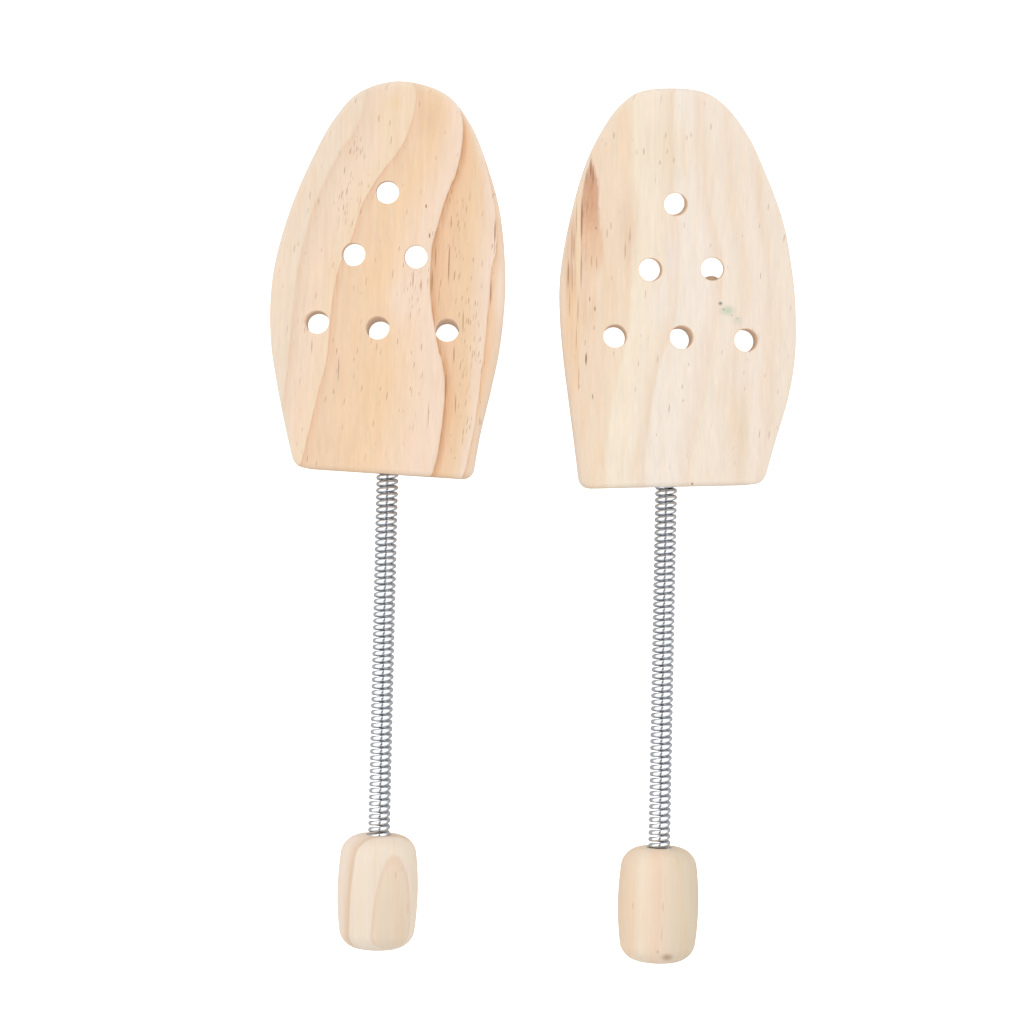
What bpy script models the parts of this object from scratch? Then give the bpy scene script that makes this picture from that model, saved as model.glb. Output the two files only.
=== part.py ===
"""A pair of wooden shoe trees, each a toe block and a heel knob joined by a spiral spring.

The pair lies flat on its soles with the toes towards +Y, +Z up and the origin under its middle.
Each tree is built in a frame of its own: x runs towards the outer side of the foot, y along the
spring towards the toe and z up, from the point of the table under the spring's entry into the block.
The two toe blocks mirror each other. The springs are wound the same way.
"""

import math

import bmesh
import bpy
import numpy as np
from mathutils import Matrix, Vector

# Toe block, in metres
BLOCK_LENGTH = 0.1362
OUTER_HALF_WIDTH = 0.0427
INNER_HALF_WIDTH = 0.0386
REAR_THICKNESS = 0.030
TOE_THICKNESS = 0.008
TOP_CROWN = 0.0014
TOP_EDGE_RADIUS = 0.0045
REAR_EDGE_RADIUS = 0.0015
SOLE_EDGE_RADIUS = 0.002
REAR_CORNER_RADIUS = 0.0027
WEDGE_POWER = 1.3

# Spring
WIRE_DIAMETER = 0.00175
COIL_OUTER_RADIUS = 0.00385
SPRING_SHOWING = 0.1238
COIL_TURNS = 46
AXIS_HEIGHT = 0.014

# Heel knob
KNOB_LENGTH = 0.0389
KNOB_RADIUS = 0.01385
KNOB_BARREL_DROP = 0.0018
KNOB_END_RADIUS = 0.006

# Sockets and pegs that hold the spring's ends
SOCKET_DEPTH = 0.010
PILOT_DEPTH = 0.008
PEG_INSET = 0.0005
CLEARANCE = 0.0003
SOCKET_CLEARANCE = 0.00035

# Joints
BEND_CENTRE = 0.024

# Where each tree lies: its spring's entry into the block, and the lean of its axis in degrees
LEFT_ENTRY_X = -0.04986
LEFT_ENTRY_Y = 0.0152
LEFT_LEAN = -1.34
RIGHT_ENTRY_X = 0.04594
RIGHT_ENTRY_Y = 0.0108
RIGHT_LEAN = -1.12

# Outlines from the outer rear corner round the toe to the inner rear corner:
# (share of the half width on that side, share of the block's length)
LEFT_OUTLINE_SHARES = (
    (0.728, 0.010),
    (0.812, 0.108),
    (0.902, 0.227),
    (0.961, 0.330),
    (0.976, 0.445),
    (0.939, 0.551),
    (0.828, 0.683),
    (0.657, 0.817),
    (0.504, 0.908),
    (0.308, 0.976),
    (-0.020, 1.006),
    (-0.418, 0.978),
    (-0.648, 0.906),
    (-0.797, 0.814),
    (-0.941, 0.682),
    (-1.002, 0.548),
    (-1.008, 0.445),
    (-0.973, 0.330),
    (-0.904, 0.223),
    (-0.815, 0.105),
    (-0.755, -0.009),
)
RIGHT_OUTLINE_SHARES = (
    (0.757, 0.010),
    (0.844, 0.108),
    (0.955, 0.226),
    (1.012, 0.329),
    (1.020, 0.444),
    (0.992, 0.550),
    (0.914, 0.683),
    (0.755, 0.817),
    (0.612, 0.908),
    (0.413, 0.984),
    (0.186, 1.017),
    (-0.236, 1.014),
    (-0.462, 0.975),
    (-0.637, 0.902),
    (-0.779, 0.812),
    (-0.899, 0.680),
    (-0.973, 0.547),
    (-0.975, 0.444),
    (-0.936, 0.329),
    (-0.882, 0.222),
    (-0.820, 0.104),
    (-0.765, -0.009),
)

# Vent holes through each block, in the outline's shares
VENT_RADIUS = 0.004
LEFT_VENT_SHARES = (
    (0.056, 0.713),
    (0.311, 0.551),
    (-0.210, 0.548),
    (0.583, 0.376),
    (0.098, 0.365),
    (-0.505, 0.364),
)
RIGHT_VENT_SHARES = (
    (0.035, 0.715),
    (-0.179, 0.546),
    (0.335, 0.551),
    (-0.487, 0.375),
    (0.091, 0.375),
    (0.607, 0.371),
)

# How finely round shapes are cut
CURVE_STEPS = 12
SIDE_POINTS = 38
CORNER_STEPS = 3
SOLE_EDGE_STEPS = 2
TOP_EDGE_STEPS = 4
CROWN_COLUMNS = 4
VENT_SIDES = 24
BORE_SIDES = 24
KNOB_SIDES = 32
KNOB_END_STEPS = 5
KNOB_BODY_STEPS = 6
PEG_SIDES = 16
COIL_POINTS_PER_TURN = 8
CUT_OVERRUN = 0.002

PINE_PALE = (0.86, 0.72, 0.58)
PINE_WARM = (0.82, 0.66, 0.49)
ZINC_STEEL = (0.62, 0.63, 0.65)
BEECH = (0.68, 0.50, 0.34)

COIL_RADIUS = COIL_OUTER_RADIUS - WIRE_DIAMETER / 2
SOCKET_RADIUS = COIL_OUTER_RADIUS + SOCKET_CLEARANCE

# The pegs clear the flat stretches between the coil's points, and the pilot holes clear the pegs
COIL_BORE_RADIUS = COIL_RADIUS * math.cos(math.pi / COIL_POINTS_PER_TURN) - WIRE_DIAMETER / 2
PEG_RADIUS = COIL_BORE_RADIUS - CLEARANCE
PILOT_RADIUS = PEG_RADIUS + CLEARANCE


def clear_scene():
    """Removes whatever the file holds."""
    for thing in list(bpy.data.objects):
        bpy.data.objects.remove(thing)


def material(name, colour, roughness, metallic=0.0):
    """A plain finish for the solids."""
    finish = bpy.data.materials.new(name)
    finish.use_nodes = True
    shader = finish.node_tree.nodes["Principled BSDF"]
    shader.inputs["Base Color"].default_value = (*colour, 1.0)
    shader.inputs["Roughness"].default_value = roughness
    shader.inputs["Metallic"].default_value = metallic
    return finish


def add_object(name, data, parent, place=(0, 0, 0)):
    """Links data to the scene under a parent empty, at a place in the parent's frame."""
    thing = bpy.data.objects.new(name, data)
    bpy.context.scene.collection.objects.link(thing)
    thing.parent = parent
    thing.location = place
    return thing


def add_solid(name, shape, finish, parent, place=(0, 0, 0)):
    """Turns a bmesh into a smooth shaded object whose faces point out."""
    bmesh.ops.recalc_face_normals(shape, faces=shape.faces)
    mesh = bpy.data.meshes.new(name)
    shape.to_mesh(mesh)
    shape.free()
    if finish:
        mesh.materials.append(finish)
    mesh.shade_smooth()
    mesh.set_sharp_from_angle(angle=math.radians(35))
    return add_object(name, mesh, parent, place)


def cut_with(target, cutter):
    """Cuts a hidden cutter out of the target."""
    cutter.hide_render = True
    cutter.display_type = "WIRE"
    cut = target.modifiers.new(cutter.name, "BOOLEAN")
    cut.operation = "DIFFERENCE"
    cut.solver = "EXACT"
    cut.object = cutter


def add_turned(shape, profile, sides, matrix):
    """Adds a closed turned body. The profile lists (distance along the axis, radius)."""
    rings = []
    for distance, radius in profile:
        ring = []
        for side in range(sides):
            angle = 2 * math.pi * side / sides
            point = Vector((radius * math.sin(angle), distance, -radius * math.cos(angle)))
            ring.append(shape.verts.new(matrix @ point))
        rings.append(ring)
    for ring, following in zip(rings, rings[1:]):
        for side in range(sides):
            after = (side + 1) % sides
            shape.faces.new((ring[side], ring[after], following[after], following[side]))
    shape.faces.new(reversed(rings[0]))
    shape.faces.new(rings[-1])


def from_shares(across, along):
    """A point from its shares of the half width on its side and of the block's length."""
    half_width = OUTER_HALF_WIDTH if across > 0 else INNER_HALF_WIDTH
    return across * half_width, along * BLOCK_LENGTH


def toe_curve(shares):
    """A smooth fine line through the outline's points, as an array of x and y."""
    corners = np.array([from_shares(across, along) for across, along in shares])
    before = 2 * corners[0] - corners[1]
    behind = 2 * corners[-1] - corners[-2]
    control = np.vstack([before, corners, behind])
    line = []
    for a, b, c, d in zip(control, control[1:], control[2:], control[3:]):
        for step in range(CURVE_STEPS):
            t = step / CURVE_STEPS
            bend = (2 * a - 5 * b + 4 * c - d) * t**2 + (3 * b - a - 3 * c + d) * t**3
            line.append((2 * b + (c - a) * t + bend) / 2)
    line.append(corners[-1])
    return np.array(line)


def moved_inwards(line, distance):
    """The line shifted to its left, towards the inside of the block."""
    run = np.gradient(line, axis=0)
    run /= np.linalg.norm(run, axis=1)[:, None]
    inwards = np.column_stack([-run[:, 1], run[:, 0]])
    return line + inwards * distance


def block_loop(shares, side_inset, rear_inset, corner_radius):
    """A closed loop round the block, set in by the two insets.
    It starts at the outer rear corner, goes round the toe and comes back across the rear."""
    edge = toe_curve(shares)
    rear = (edge[-1] - edge[0]) / np.linalg.norm(edge[-1] - edge[0])
    forwards = np.array([rear[1], -rear[0]])
    line = moved_inwards(edge, side_inset)
    height = (line - edge[0]) @ forwards - rear_inset
    length = np.concatenate([[0], np.cumsum(np.linalg.norm(np.diff(line, axis=0), axis=1))])
    toe = int(np.argmax(height))

    def at(place):
        x = np.interp(place, length, line[:, 0])
        y = np.interp(place, length, line[:, 1])
        return np.array([x, y])

    def outer_side(level):
        return np.interp(level, height[:toe], length[:toe])

    def inner_side(level):
        return np.interp(level, height[:toe:-1], length[:toe:-1])

    def corner(side_point, tip, rear_point):
        """The points between the side and the rear, round a corner whose sharp tip is given."""
        points = []
        for step in range(1, CORNER_STEPS):
            t = step / CORNER_STEPS
            points.append(side_point * (1 - t) ** 2 + tip * 2 * t * (1 - t) + rear_point * t**2)
        return points

    outer_tip = at(outer_side(0))
    inner_tip = at(inner_side(0))
    start = outer_side(corner_radius)
    end = inner_side(corner_radius)
    outer_rear = outer_tip + rear * corner_radius
    inner_rear = inner_tip - rear * corner_radius
    outer_round = corner(at(start), outer_tip, outer_rear)[::-1]
    inner_round = corner(at(end), inner_tip, inner_rear)
    sides = [at(place) for place in np.linspace(start, end, SIDE_POINTS)]
    across = np.linspace(inner_rear, outer_rear, CROWN_COLUMNS + 1)[1:-1]
    return np.array([outer_rear, *outer_round, *sides, *inner_round, inner_rear, *across])


def top_height(x, y):
    """Height of the block's top: a wedge that sweeps down to the toe, crowned across."""
    towards_rear = min(max(1 - y / BLOCK_LENGTH, 0), 1)
    wedge = TOE_THICKNESS + (REAR_THICKNESS - TOE_THICKNESS) * towards_rear**WEDGE_POWER
    half_width = OUTER_HALF_WIDTH if x > 0 else INNER_HALF_WIDTH
    return wedge - TOP_CROWN * (x / half_width) ** 2


def edge_radii(count):
    """The top edge's radius at each point of a loop: small across the rear, full along the sides."""
    round_toe = count - (CROWN_COLUMNS - 1)
    radii = []
    for index in range(count):
        from_rear = max(min(index, round_toe - 1 - index), 0)
        share = min(from_rear / CORNER_STEPS, 1)
        radii.append(REAR_EDGE_RADIUS + (TOP_EDGE_RADIUS - REAR_EDGE_RADIUS) * share)
    return radii


def block_shape(shares, mirror):
    """The uncut toe block as stacked loops: sole, rounded edges, wall, rounded edges and top."""
    outer = block_loop(shares, 0, 0, REAR_CORNER_RADIUS + REAR_EDGE_RADIUS)
    sole = block_loop(shares, SOLE_EDGE_RADIUS, SOLE_EDGE_RADIUS, REAR_CORNER_RADIUS)
    top = block_loop(shares, TOP_EDGE_RADIUS, REAR_EDGE_RADIUS, REAR_CORNER_RADIUS)
    heights = [top_height(x, y) for x, y in top]
    radii = edge_radii(len(top))
    shape = bmesh.new()

    def add_loop(points, levels):
        return [shape.verts.new((x * mirror, y, z)) for (x, y), z in zip(points, levels)]

    loops = []
    for step in range(SOLE_EDGE_STEPS + 1):
        angle = math.pi / 2 * step / SOLE_EDGE_STEPS
        points = sole + (outer - sole) * math.sin(angle)
        loops.append(add_loop(points, [SOLE_EDGE_RADIUS * (1 - math.cos(angle))] * len(points)))
    for step in range(TOP_EDGE_STEPS + 1):
        angle = math.pi / 2 * step / TOP_EDGE_STEPS
        points = top + (outer - top) * math.cos(angle)
        levels = [z - radius * (1 - math.sin(angle)) for z, radius in zip(heights, radii)]
        loops.append(add_loop(points, levels))
    for loop, following in zip(loops, loops[1:]):
        for index in range(len(loop)):
            after = (index + 1) % len(loop)
            shape.faces.new((loop[index], loop[after], following[after], following[index]))
    shape.faces.new(reversed(loops[0]))
    add_crowned_top(shape, loops[-1], top, mirror)
    return shape


def add_crowned_top(shape, rim, points, mirror):
    """Fills the top in rows that run across the block, each bent to the crown."""
    round_toe = len(rim) - (CROWN_COLUMNS - 1)
    rows = [[rim[0], *reversed(rim[round_toe:]), rim[round_toe - 1]]]
    for index in range(1, round_toe // 2):
        far = round_toe - 1 - index
        row = [rim[index]]
        for column in range(1, CROWN_COLUMNS):
            x, y = points[index] + (points[far] - points[index]) * column / CROWN_COLUMNS
            row.append(shape.verts.new((x * mirror, y, top_height(x, y))))
        rows.append([*row, rim[far]])
    for row, following in zip(rows, rows[1:]):
        for column in range(CROWN_COLUMNS):
            shape.faces.new((row[column], row[column + 1], following[column + 1], following[column]))
    # the last row's two ends are next to each other on the rim, so one face closes the toe
    shape.faces.new(rows[-1])


def add_vents(name, block, tree, vents, mirror):
    """Drills the vent holes straight down through the block."""
    shape = bmesh.new()
    upright = Matrix.Rotation(math.pi / 2, 4, "X")
    profile = [(-CUT_OVERRUN, VENT_RADIUS), (REAR_THICKNESS + CUT_OVERRUN, VENT_RADIUS)]
    for across, along in vents:
        x, y = from_shares(across, along)
        add_turned(shape, profile, VENT_SIDES, Matrix.Translation((x * mirror, y, 0)) @ upright)
    cut_with(block, add_solid(name, shape, None, tree))


def add_socket(name, piece, parent, turn, place=(0, 0, 0)):
    """Bores the spring's socket and the peg's narrower pilot hole behind it into a piece."""
    shape = bmesh.new()
    profile = [
        (-CUT_OVERRUN, SOCKET_RADIUS),
        (SOCKET_DEPTH, SOCKET_RADIUS),
        (SOCKET_DEPTH, PILOT_RADIUS),
        (SOCKET_DEPTH + PILOT_DEPTH, PILOT_RADIUS),
    ]
    add_turned(shape, profile, BORE_SIDES, turn)
    cut_with(piece, add_solid(name, shape, None, parent, place))


def add_peg(name, finish, parent, turn, place=(0, 0, 0)):
    """The dowel inside the spring's end, glued into the pilot hole."""
    shape = bmesh.new()
    profile = [(PEG_INSET, PEG_RADIUS), (SOCKET_DEPTH + PILOT_DEPTH - CLEARANCE, PEG_RADIUS)]
    add_turned(shape, profile, PEG_SIDES, turn)
    add_solid(name, shape, finish, parent, place)


def knob_profile():
    """The barrel's (distance, radius) pairs from the face at the spring, with rounded ends."""
    half = KNOB_LENGTH / 2

    def barrel(distance):
        return KNOB_RADIUS - KNOB_BARREL_DROP * ((distance - half) / half) ** 2

    rounded = []
    for step in range(KNOB_END_STEPS + 1):
        angle = math.pi / 2 * step / KNOB_END_STEPS
        distance = KNOB_END_RADIUS * (1 - math.cos(angle))
        rounded.append((distance, barrel(distance) - KNOB_END_RADIUS * (1 - math.sin(angle))))
    body = []
    for step in range(1, KNOB_BODY_STEPS):
        distance = KNOB_END_RADIUS + (KNOB_LENGTH - 2 * KNOB_END_RADIUS) * step / KNOB_BODY_STEPS
        body.append((distance, barrel(distance)))
    far_end = [(KNOB_LENGTH - distance, radius) for distance, radius in reversed(rounded)]
    return rounded + body + far_end


def add_knob(name, finish, slide, turn):
    """The turned heel knob, from its flat face at the spring to its far end."""
    shape = bmesh.new()
    add_turned(shape, knob_profile(), KNOB_SIDES, turn)
    return add_solid(name, shape, finish, slide)


def on_coil(angle, y):
    """A point of the wire's centre line, in the bend pivot's frame."""
    return (COIL_RADIUS * math.sin(angle), y, COIL_RADIUS * math.cos(angle))


def coil_path():
    """The wire's centre line from the bottom of the toe socket to that of the heel socket.
    Its ends run straight for one diameter, square to the bottoms that they rest on."""
    toe_end = BEND_CENTRE + SOCKET_DEPTH - CLEARANCE
    heel_end = BEND_CENTRE - SPRING_SHOWING - SOCKET_DEPTH + CLEARANCE
    first = toe_end - 2 * WIRE_DIAMETER
    last = heel_end + 2 * WIRE_DIAMETER
    steps = COIL_TURNS * COIL_POINTS_PER_TURN
    turns = []
    for step in range(steps + 1):
        angle = -2 * math.pi * step / COIL_POINTS_PER_TURN
        turns.append(on_coil(angle, first + (last - first) * step / steps))
    half_step = math.pi / COIL_POINTS_PER_TURN
    toe_tail = [on_coil(half_step, toe_end), on_coil(half_step, toe_end - WIRE_DIAMETER)]
    heel_tail = [on_coil(-half_step, heel_end + WIRE_DIAMETER), on_coil(-half_step, heel_end)]
    return np.array(toe_tail + turns + heel_tail)


def least_gap(points):
    """The narrowest gap between the wire's turns, measured from point to point."""
    apart = np.linalg.norm(points[:, None] - points[None, :], axis=2)
    index = np.arange(len(points))
    same_turn = np.abs(index[:, None] - index[None, :]) < COIL_POINTS_PER_TURN - 1
    apart[same_turn] = np.inf
    return float(apart.min()) - WIRE_DIAMETER


def add_spring(name, finish, pivot):
    """One unbroken wound wire, whose ends run straight onto the bottoms of their sockets."""
    points = coil_path()
    print(name, "least gap between turns, in mm:", round(least_gap(points) * 1000, 3))
    curve = bpy.data.curves.new(name, "CURVE")
    curve.dimensions = "3D"
    curve.bevel_depth = WIRE_DIAMETER / 2
    curve.bevel_resolution = 1
    curve.use_fill_caps = True
    wire = curve.splines.new("POLY")
    wire.points.add(len(points) - 1)
    for knot, point in zip(wire.points, points):
        knot.co = (*point, 1)
        knot.radius = 1
    wire.use_smooth = True
    curve.materials.append(finish)
    add_object(name, curve, pivot)


def add_tree(side, mirror, entry, lean, shares, vents, finishes):
    """One shoe tree: block, spring, knob and pegs, on empties at its joints."""
    tree = add_object(f"{side}_tree", None, None, (*entry, 0))
    tree.rotation_euler.z = math.radians(lean)
    pivot = add_object(f"{side}_bend_pivot", None, tree, (0, -BEND_CENTRE, AXIS_HEIGHT))
    slide = add_object(f"{side}_heel_slide", None, pivot, (0, BEND_CENTRE - SPRING_SHOWING, 0))
    to_toe = Matrix.Identity(4)
    to_heel = Matrix.Rotation(math.pi, 4, "Z")
    at_entry = (0, 0, AXIS_HEIGHT)

    block = add_solid(f"{side}_toe_block", block_shape(shares, mirror), finishes["block"], tree)
    add_vents(f"{side}_vent_cutter", block, tree, vents, mirror)
    add_socket(f"{side}_toe_socket_cutter", block, tree, to_toe, at_entry)
    add_peg(f"{side}_toe_peg", finishes["peg"], tree, to_toe, at_entry)

    add_spring(f"{side}_spring", finishes["spring"], pivot)

    knob = add_knob(f"{side}_heel_knob", finishes["knob"], slide, to_heel)
    add_socket(f"{side}_heel_socket_cutter", knob, slide, to_heel)
    add_peg(f"{side}_heel_peg", finishes["peg"], slide, to_heel)


def main():
    clear_scene()
    finishes = {
        "block": material("toe_block_pine", PINE_PALE, 0.6),
        "knob": material("heel_knob_pine", PINE_WARM, 0.55),
        "spring": material("spring_zinc_steel", ZINC_STEEL, 0.3, 1.0),
        "peg": material("peg_beech", BEECH, 0.6),
    }
    left_entry = (LEFT_ENTRY_X, LEFT_ENTRY_Y)
    right_entry = (RIGHT_ENTRY_X, RIGHT_ENTRY_Y)
    add_tree("left", -1, left_entry, LEFT_LEAN, LEFT_OUTLINE_SHARES, LEFT_VENT_SHARES, finishes)
    add_tree("right", 1, right_entry, RIGHT_LEAN, RIGHT_OUTLINE_SHARES, RIGHT_VENT_SHARES, finishes)


main()
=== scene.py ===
"""The looks of a pair of wooden shoe trees: pine toe blocks and heel knobs on spiral wire springs.

Every piece is built in its own tree's frame, in metres: x runs to the right as seen from above, y along
the spring towards the toe and z up, from the table under the spring's entry into the toe block.
"""
import math
from collections import namedtuple

import bmesh
import bpy
import numpy as np
from mathutils import Matrix, Vector


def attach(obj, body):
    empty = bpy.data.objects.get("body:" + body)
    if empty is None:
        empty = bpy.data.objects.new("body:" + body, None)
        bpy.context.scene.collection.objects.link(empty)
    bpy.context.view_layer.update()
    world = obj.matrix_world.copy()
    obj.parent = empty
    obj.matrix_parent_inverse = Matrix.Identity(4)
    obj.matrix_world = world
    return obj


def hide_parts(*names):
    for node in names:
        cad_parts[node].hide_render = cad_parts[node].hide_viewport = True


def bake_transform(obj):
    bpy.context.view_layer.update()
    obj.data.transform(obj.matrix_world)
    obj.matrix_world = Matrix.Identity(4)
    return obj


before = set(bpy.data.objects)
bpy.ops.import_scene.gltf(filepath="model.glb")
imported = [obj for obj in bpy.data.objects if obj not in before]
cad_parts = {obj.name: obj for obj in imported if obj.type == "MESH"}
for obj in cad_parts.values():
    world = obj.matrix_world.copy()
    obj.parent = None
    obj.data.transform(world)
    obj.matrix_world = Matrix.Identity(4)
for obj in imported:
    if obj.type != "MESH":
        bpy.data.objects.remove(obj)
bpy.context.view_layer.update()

MM = 0.001
SHARP_ANGLE = math.radians(38)

# Toe block, as in the part
BLOCK_LENGTH = 0.1362
OUTER_HALF_WIDTH = 0.0427
INNER_HALF_WIDTH = 0.0386
MEAN_HALF_WIDTH = (OUTER_HALF_WIDTH + INNER_HALF_WIDTH) / 2
REAR_THICKNESS = 0.030
TOE_THICKNESS = 0.008
TOP_CROWN = 0.0014
TOP_EDGE_RADIUS = 0.0045
REAR_EDGE_RADIUS = 0.0015
SOLE_EDGE_RADIUS = 0.002
REAR_CORNER_RADIUS = 0.0027
WEDGE_POWER = 1.3
VENT_RADIUS = 0.004

# Spring, as in the part, but with all the turns of the real one
WIRE_DIAMETER = 0.00175
COIL_OUTER_RADIUS = 0.00385
COIL_RADIUS = COIL_OUTER_RADIUS - WIRE_DIAMETER / 2
SPRING_SHOWING = 0.1238
SPRING_PITCH = 0.00224
AXIS_HEIGHT = 0.014

# The spring is dressed in two stretches that meet at the split. All are distances behind the block's rear
# face.
SPLIT_PLACE = 0.047

# Heel knob and the sockets in both wooden pieces, as in the part
KNOB_LENGTH = 0.0389
KNOB_RADIUS = 0.01385
KNOB_BARREL_DROP = 0.0018
KNOB_END_RADIUS = 0.006
SOCKET_DEPTH = 0.010
PILOT_DEPTH = 0.008
SOCKET_RADIUS = 0.0042
PILOT_RADIUS = 0.001874
CLEARANCE = 0.0003

# Small roundings at the rims of the holes, which the part leaves out
VENT_RIM_RADIUS = 0.00035
SOCKET_LIP_RADIUS = 0.0003

# Where each tree lies: its spring's entry into the block, the lean of its axis in degrees, and how far
# its coil is turned about that axis, in radians
LEFT_ENTRY = (-0.04986, 0.0152)
LEFT_LEAN = -1.34
LEFT_COIL_TURN = 2.05
RIGHT_ENTRY = (0.04594, 0.0108)
RIGHT_LEAN = -1.12
RIGHT_COIL_TURN = -1.2

# Outlines from the outer rear corner round the toe to the inner rear corner:
# (share of the half width on that side, share of the block's length)
LEFT_OUTLINE_SHARES = (
    (0.728, 0.010),
    (0.812, 0.108),
    (0.902, 0.227),
    (0.961, 0.330),
    (0.976, 0.445),
    (0.939, 0.551),
    (0.828, 0.683),
    (0.657, 0.817),
    (0.504, 0.908),
    (0.308, 0.976),
    (-0.020, 1.006),
    (-0.418, 0.978),
    (-0.648, 0.906),
    (-0.797, 0.814),
    (-0.941, 0.682),
    (-1.002, 0.548),
    (-1.008, 0.445),
    (-0.973, 0.330),
    (-0.904, 0.223),
    (-0.815, 0.105),
    (-0.755, -0.009),
)
RIGHT_OUTLINE_SHARES = (
    (0.757, 0.010),
    (0.844, 0.108),
    (0.955, 0.226),
    (1.012, 0.329),
    (1.020, 0.444),
    (0.992, 0.550),
    (0.914, 0.683),
    (0.755, 0.817),
    (0.612, 0.908),
    (0.413, 0.984),
    (0.186, 1.017),
    (-0.236, 1.014),
    (-0.462, 0.975),
    (-0.637, 0.902),
    (-0.779, 0.812),
    (-0.899, 0.680),
    (-0.973, 0.547),
    (-0.975, 0.444),
    (-0.936, 0.329),
    (-0.882, 0.222),
    (-0.820, 0.104),
    (-0.765, -0.009),
)

# How finely round shapes are cut
CURVE_STEPS = 16
SIDE_POINTS = 240
CORNER_STEPS = 6
SOLE_EDGE_STEPS = 5
TOP_EDGE_STEPS = 8
CROWN_COLUMNS = 56
VENT_SIDES = 96
BORE_SIDES = 64
RIM_STEPS = 5
KNOB_SIDES = 128
KNOB_END_STEPS = 14
KNOB_BODY_STEPS = 30
WIRE_SIDES = 14
WIRE_STEPS_PER_TURN = 36
FACE_RINGS = 6
# How many points of an outline are compared with a block at a time, which keeps the arrays small
OUTLINE_POINTS_AT_ONCE = 8

# Vent holes: the centre in the outline's shares, as in the part, and how far the drill has drifted
# off the upright by the time it comes out of the sole, in metres outwards and towards the toe
LEFT_VENTS = (
    ((0.056, 0.713), (0.0004, 0.0012)),
    ((0.311, 0.551), (0.0006, 0.0013)),
    ((-0.210, 0.548), (0.0005, 0.0016)),
    ((0.583, 0.376), (0.0008, 0.0004)),
    ((0.098, 0.365), (0.0001, -0.0003)),
    ((-0.505, 0.364), (0.0004, -0.0005)),
)
RIGHT_VENTS = (
    ((0.035, 0.715), (-0.0002, 0.0020)),
    ((-0.179, 0.546), (0.0001, 0.0015)),
    ((0.335, 0.551), (0.0010, 0.0016)),
    ((-0.487, 0.375), (0.0002, 0.0005)),
    ((0.091, 0.375), (-0.0001, 0.0004)),
    ((0.607, 0.371), (0.0004, 0.0009)),
)
# How far the drills stand out of the faces that they cut, and how far their rounded rims do
DRILL_OVERRUN = 0.0015
RIM_OVERLAP = 0.00002

# A tongue of wood that the drill left at the foot of one of the right tree's vents: how far it stands
# in, half the angle that it takes up, and its height as a share of the hole's
TONGUE_VENT = 2
TONGUE_REACH = 0.0016
TONGUE_HALF_ANGLE = 0.62
TONGUE_HEIGHT_SHARE = 0.07

# Wood torn out along the rim of the left tree's rear outer vent:
# (angle from outwards towards the toe in degrees, width, depth)
TORN_VENT = 3
TORN_RIM = (
    (-38, 0.00005, 0.0004),
    (-28, 0.00035, 0.0012),
    (-12, 0.00055, 0.0018),
    (4, 0.00085, 0.0024),
    (18, 0.00060, 0.0021),
    (30, 0.00080, 0.0023),
    (44, 0.00045, 0.0016),
    (58, 0.00055, 0.0015),
    (72, 0.00020, 0.0008),
    (84, 0.00005, 0.0004),
)
TORN_OVERLAP = 0.0005
TORN_FOOT_SHARE = 0.3

# Growth lines seen on the left block, from left to right, as (x, y) in millimetres
LEFT_GROWTH_LINES = (
    ((-11.1, 130.3), (-14.5, 117.9), (-18, 112.7), (-23.6, 101.7), (-27.9, 90.3), (-30.7, 78.1),
     (-32.2, 70.1), (-33.1, 57.5), (-34.2, 41), (-35.1, 24.2), (-35.6, 2)),
    ((6.2, 134), (6.5, 129.7), (5.1, 122.2), (2.1, 113.6), (-2.1, 107.4), (-5.2, 103), (-8.7, 97.3),
     (-11.7, 90.2), (-13.9, 81.2), (-17.8, 71.8), (-19.8, 60.1), (-20.4, 50.8), (-21.2, 38.5),
     (-23.6, 27.7), (-25.3, 18.5), (-28.7, 2)),
    ((22.9, 126), (23.1, 118.4), (22.7, 112.7), (20.9, 104.2), (17.9, 95.6), (15.8, 88.1), (13.9, 80.5),
     (13.3, 71.1), (13.3, 63.2), (14.5, 53.9), (16.4, 44.8), (18.7, 36), (19.3, 28.9), (19.1, 21.8),
     (18.2, 11.8), (16.3, 1.3)),
    ((29.5, 118), (32.4, 105.9), (35, 92.9), (35.4, 77.5), (33.9, 70), (33.8, 63.8), (32.4, 42.9),
     (31.1, 29), (30.1, 17.5), (28.5, 8.4), (26.9, 0.2)),
)
# Colours across the zones between the lines: 1.0 is the first line, 2.0 the second
LEFT_ZONE_COLOURS = (
    (0.60, (241, 216, 191)),
    (0.97, (238, 219, 197)),
    (1.01, (235, 209, 184)),
    (1.50, (243, 217, 192)),
    (1.98, (243, 218, 188)),
    (2.01, (237, 206, 175)),
    (2.50, (243, 210, 173)),
    (2.85, (245, 218, 194)),
    (2.985, (245, 220, 198)),
    (3.005, (232, 190, 152)),
    (3.25, (238, 199, 162)),
    (3.60, (239, 206, 169)),
    (3.85, (242, 215, 190)),
    (3.98, (244, 220, 201)),
    (4.01, (238, 202, 168)),
    (4.25, (240, 207, 175)),
)
LEFT_RING_SLANT = 0.5
# The brown late wood just past the lines: (line, width in millimetres, strength, colour)
LEFT_LATE_WOOD = (
    (0, 2.2, 0.45, (228, 190, 158)),
    (1, 3.2, 0.75, (231, 184, 148)),
    (1, 0.7, 0.35, (205, 150, 112)),
    (2, 3.0, 0.95, (212, 158, 114)),
    (2, 0.8, 0.65, (182, 128, 88)),
    (3, 1.6, 0.60, (224, 176, 126)),
    (3, 0.5, 0.50, (196, 146, 98)),
)
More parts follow.
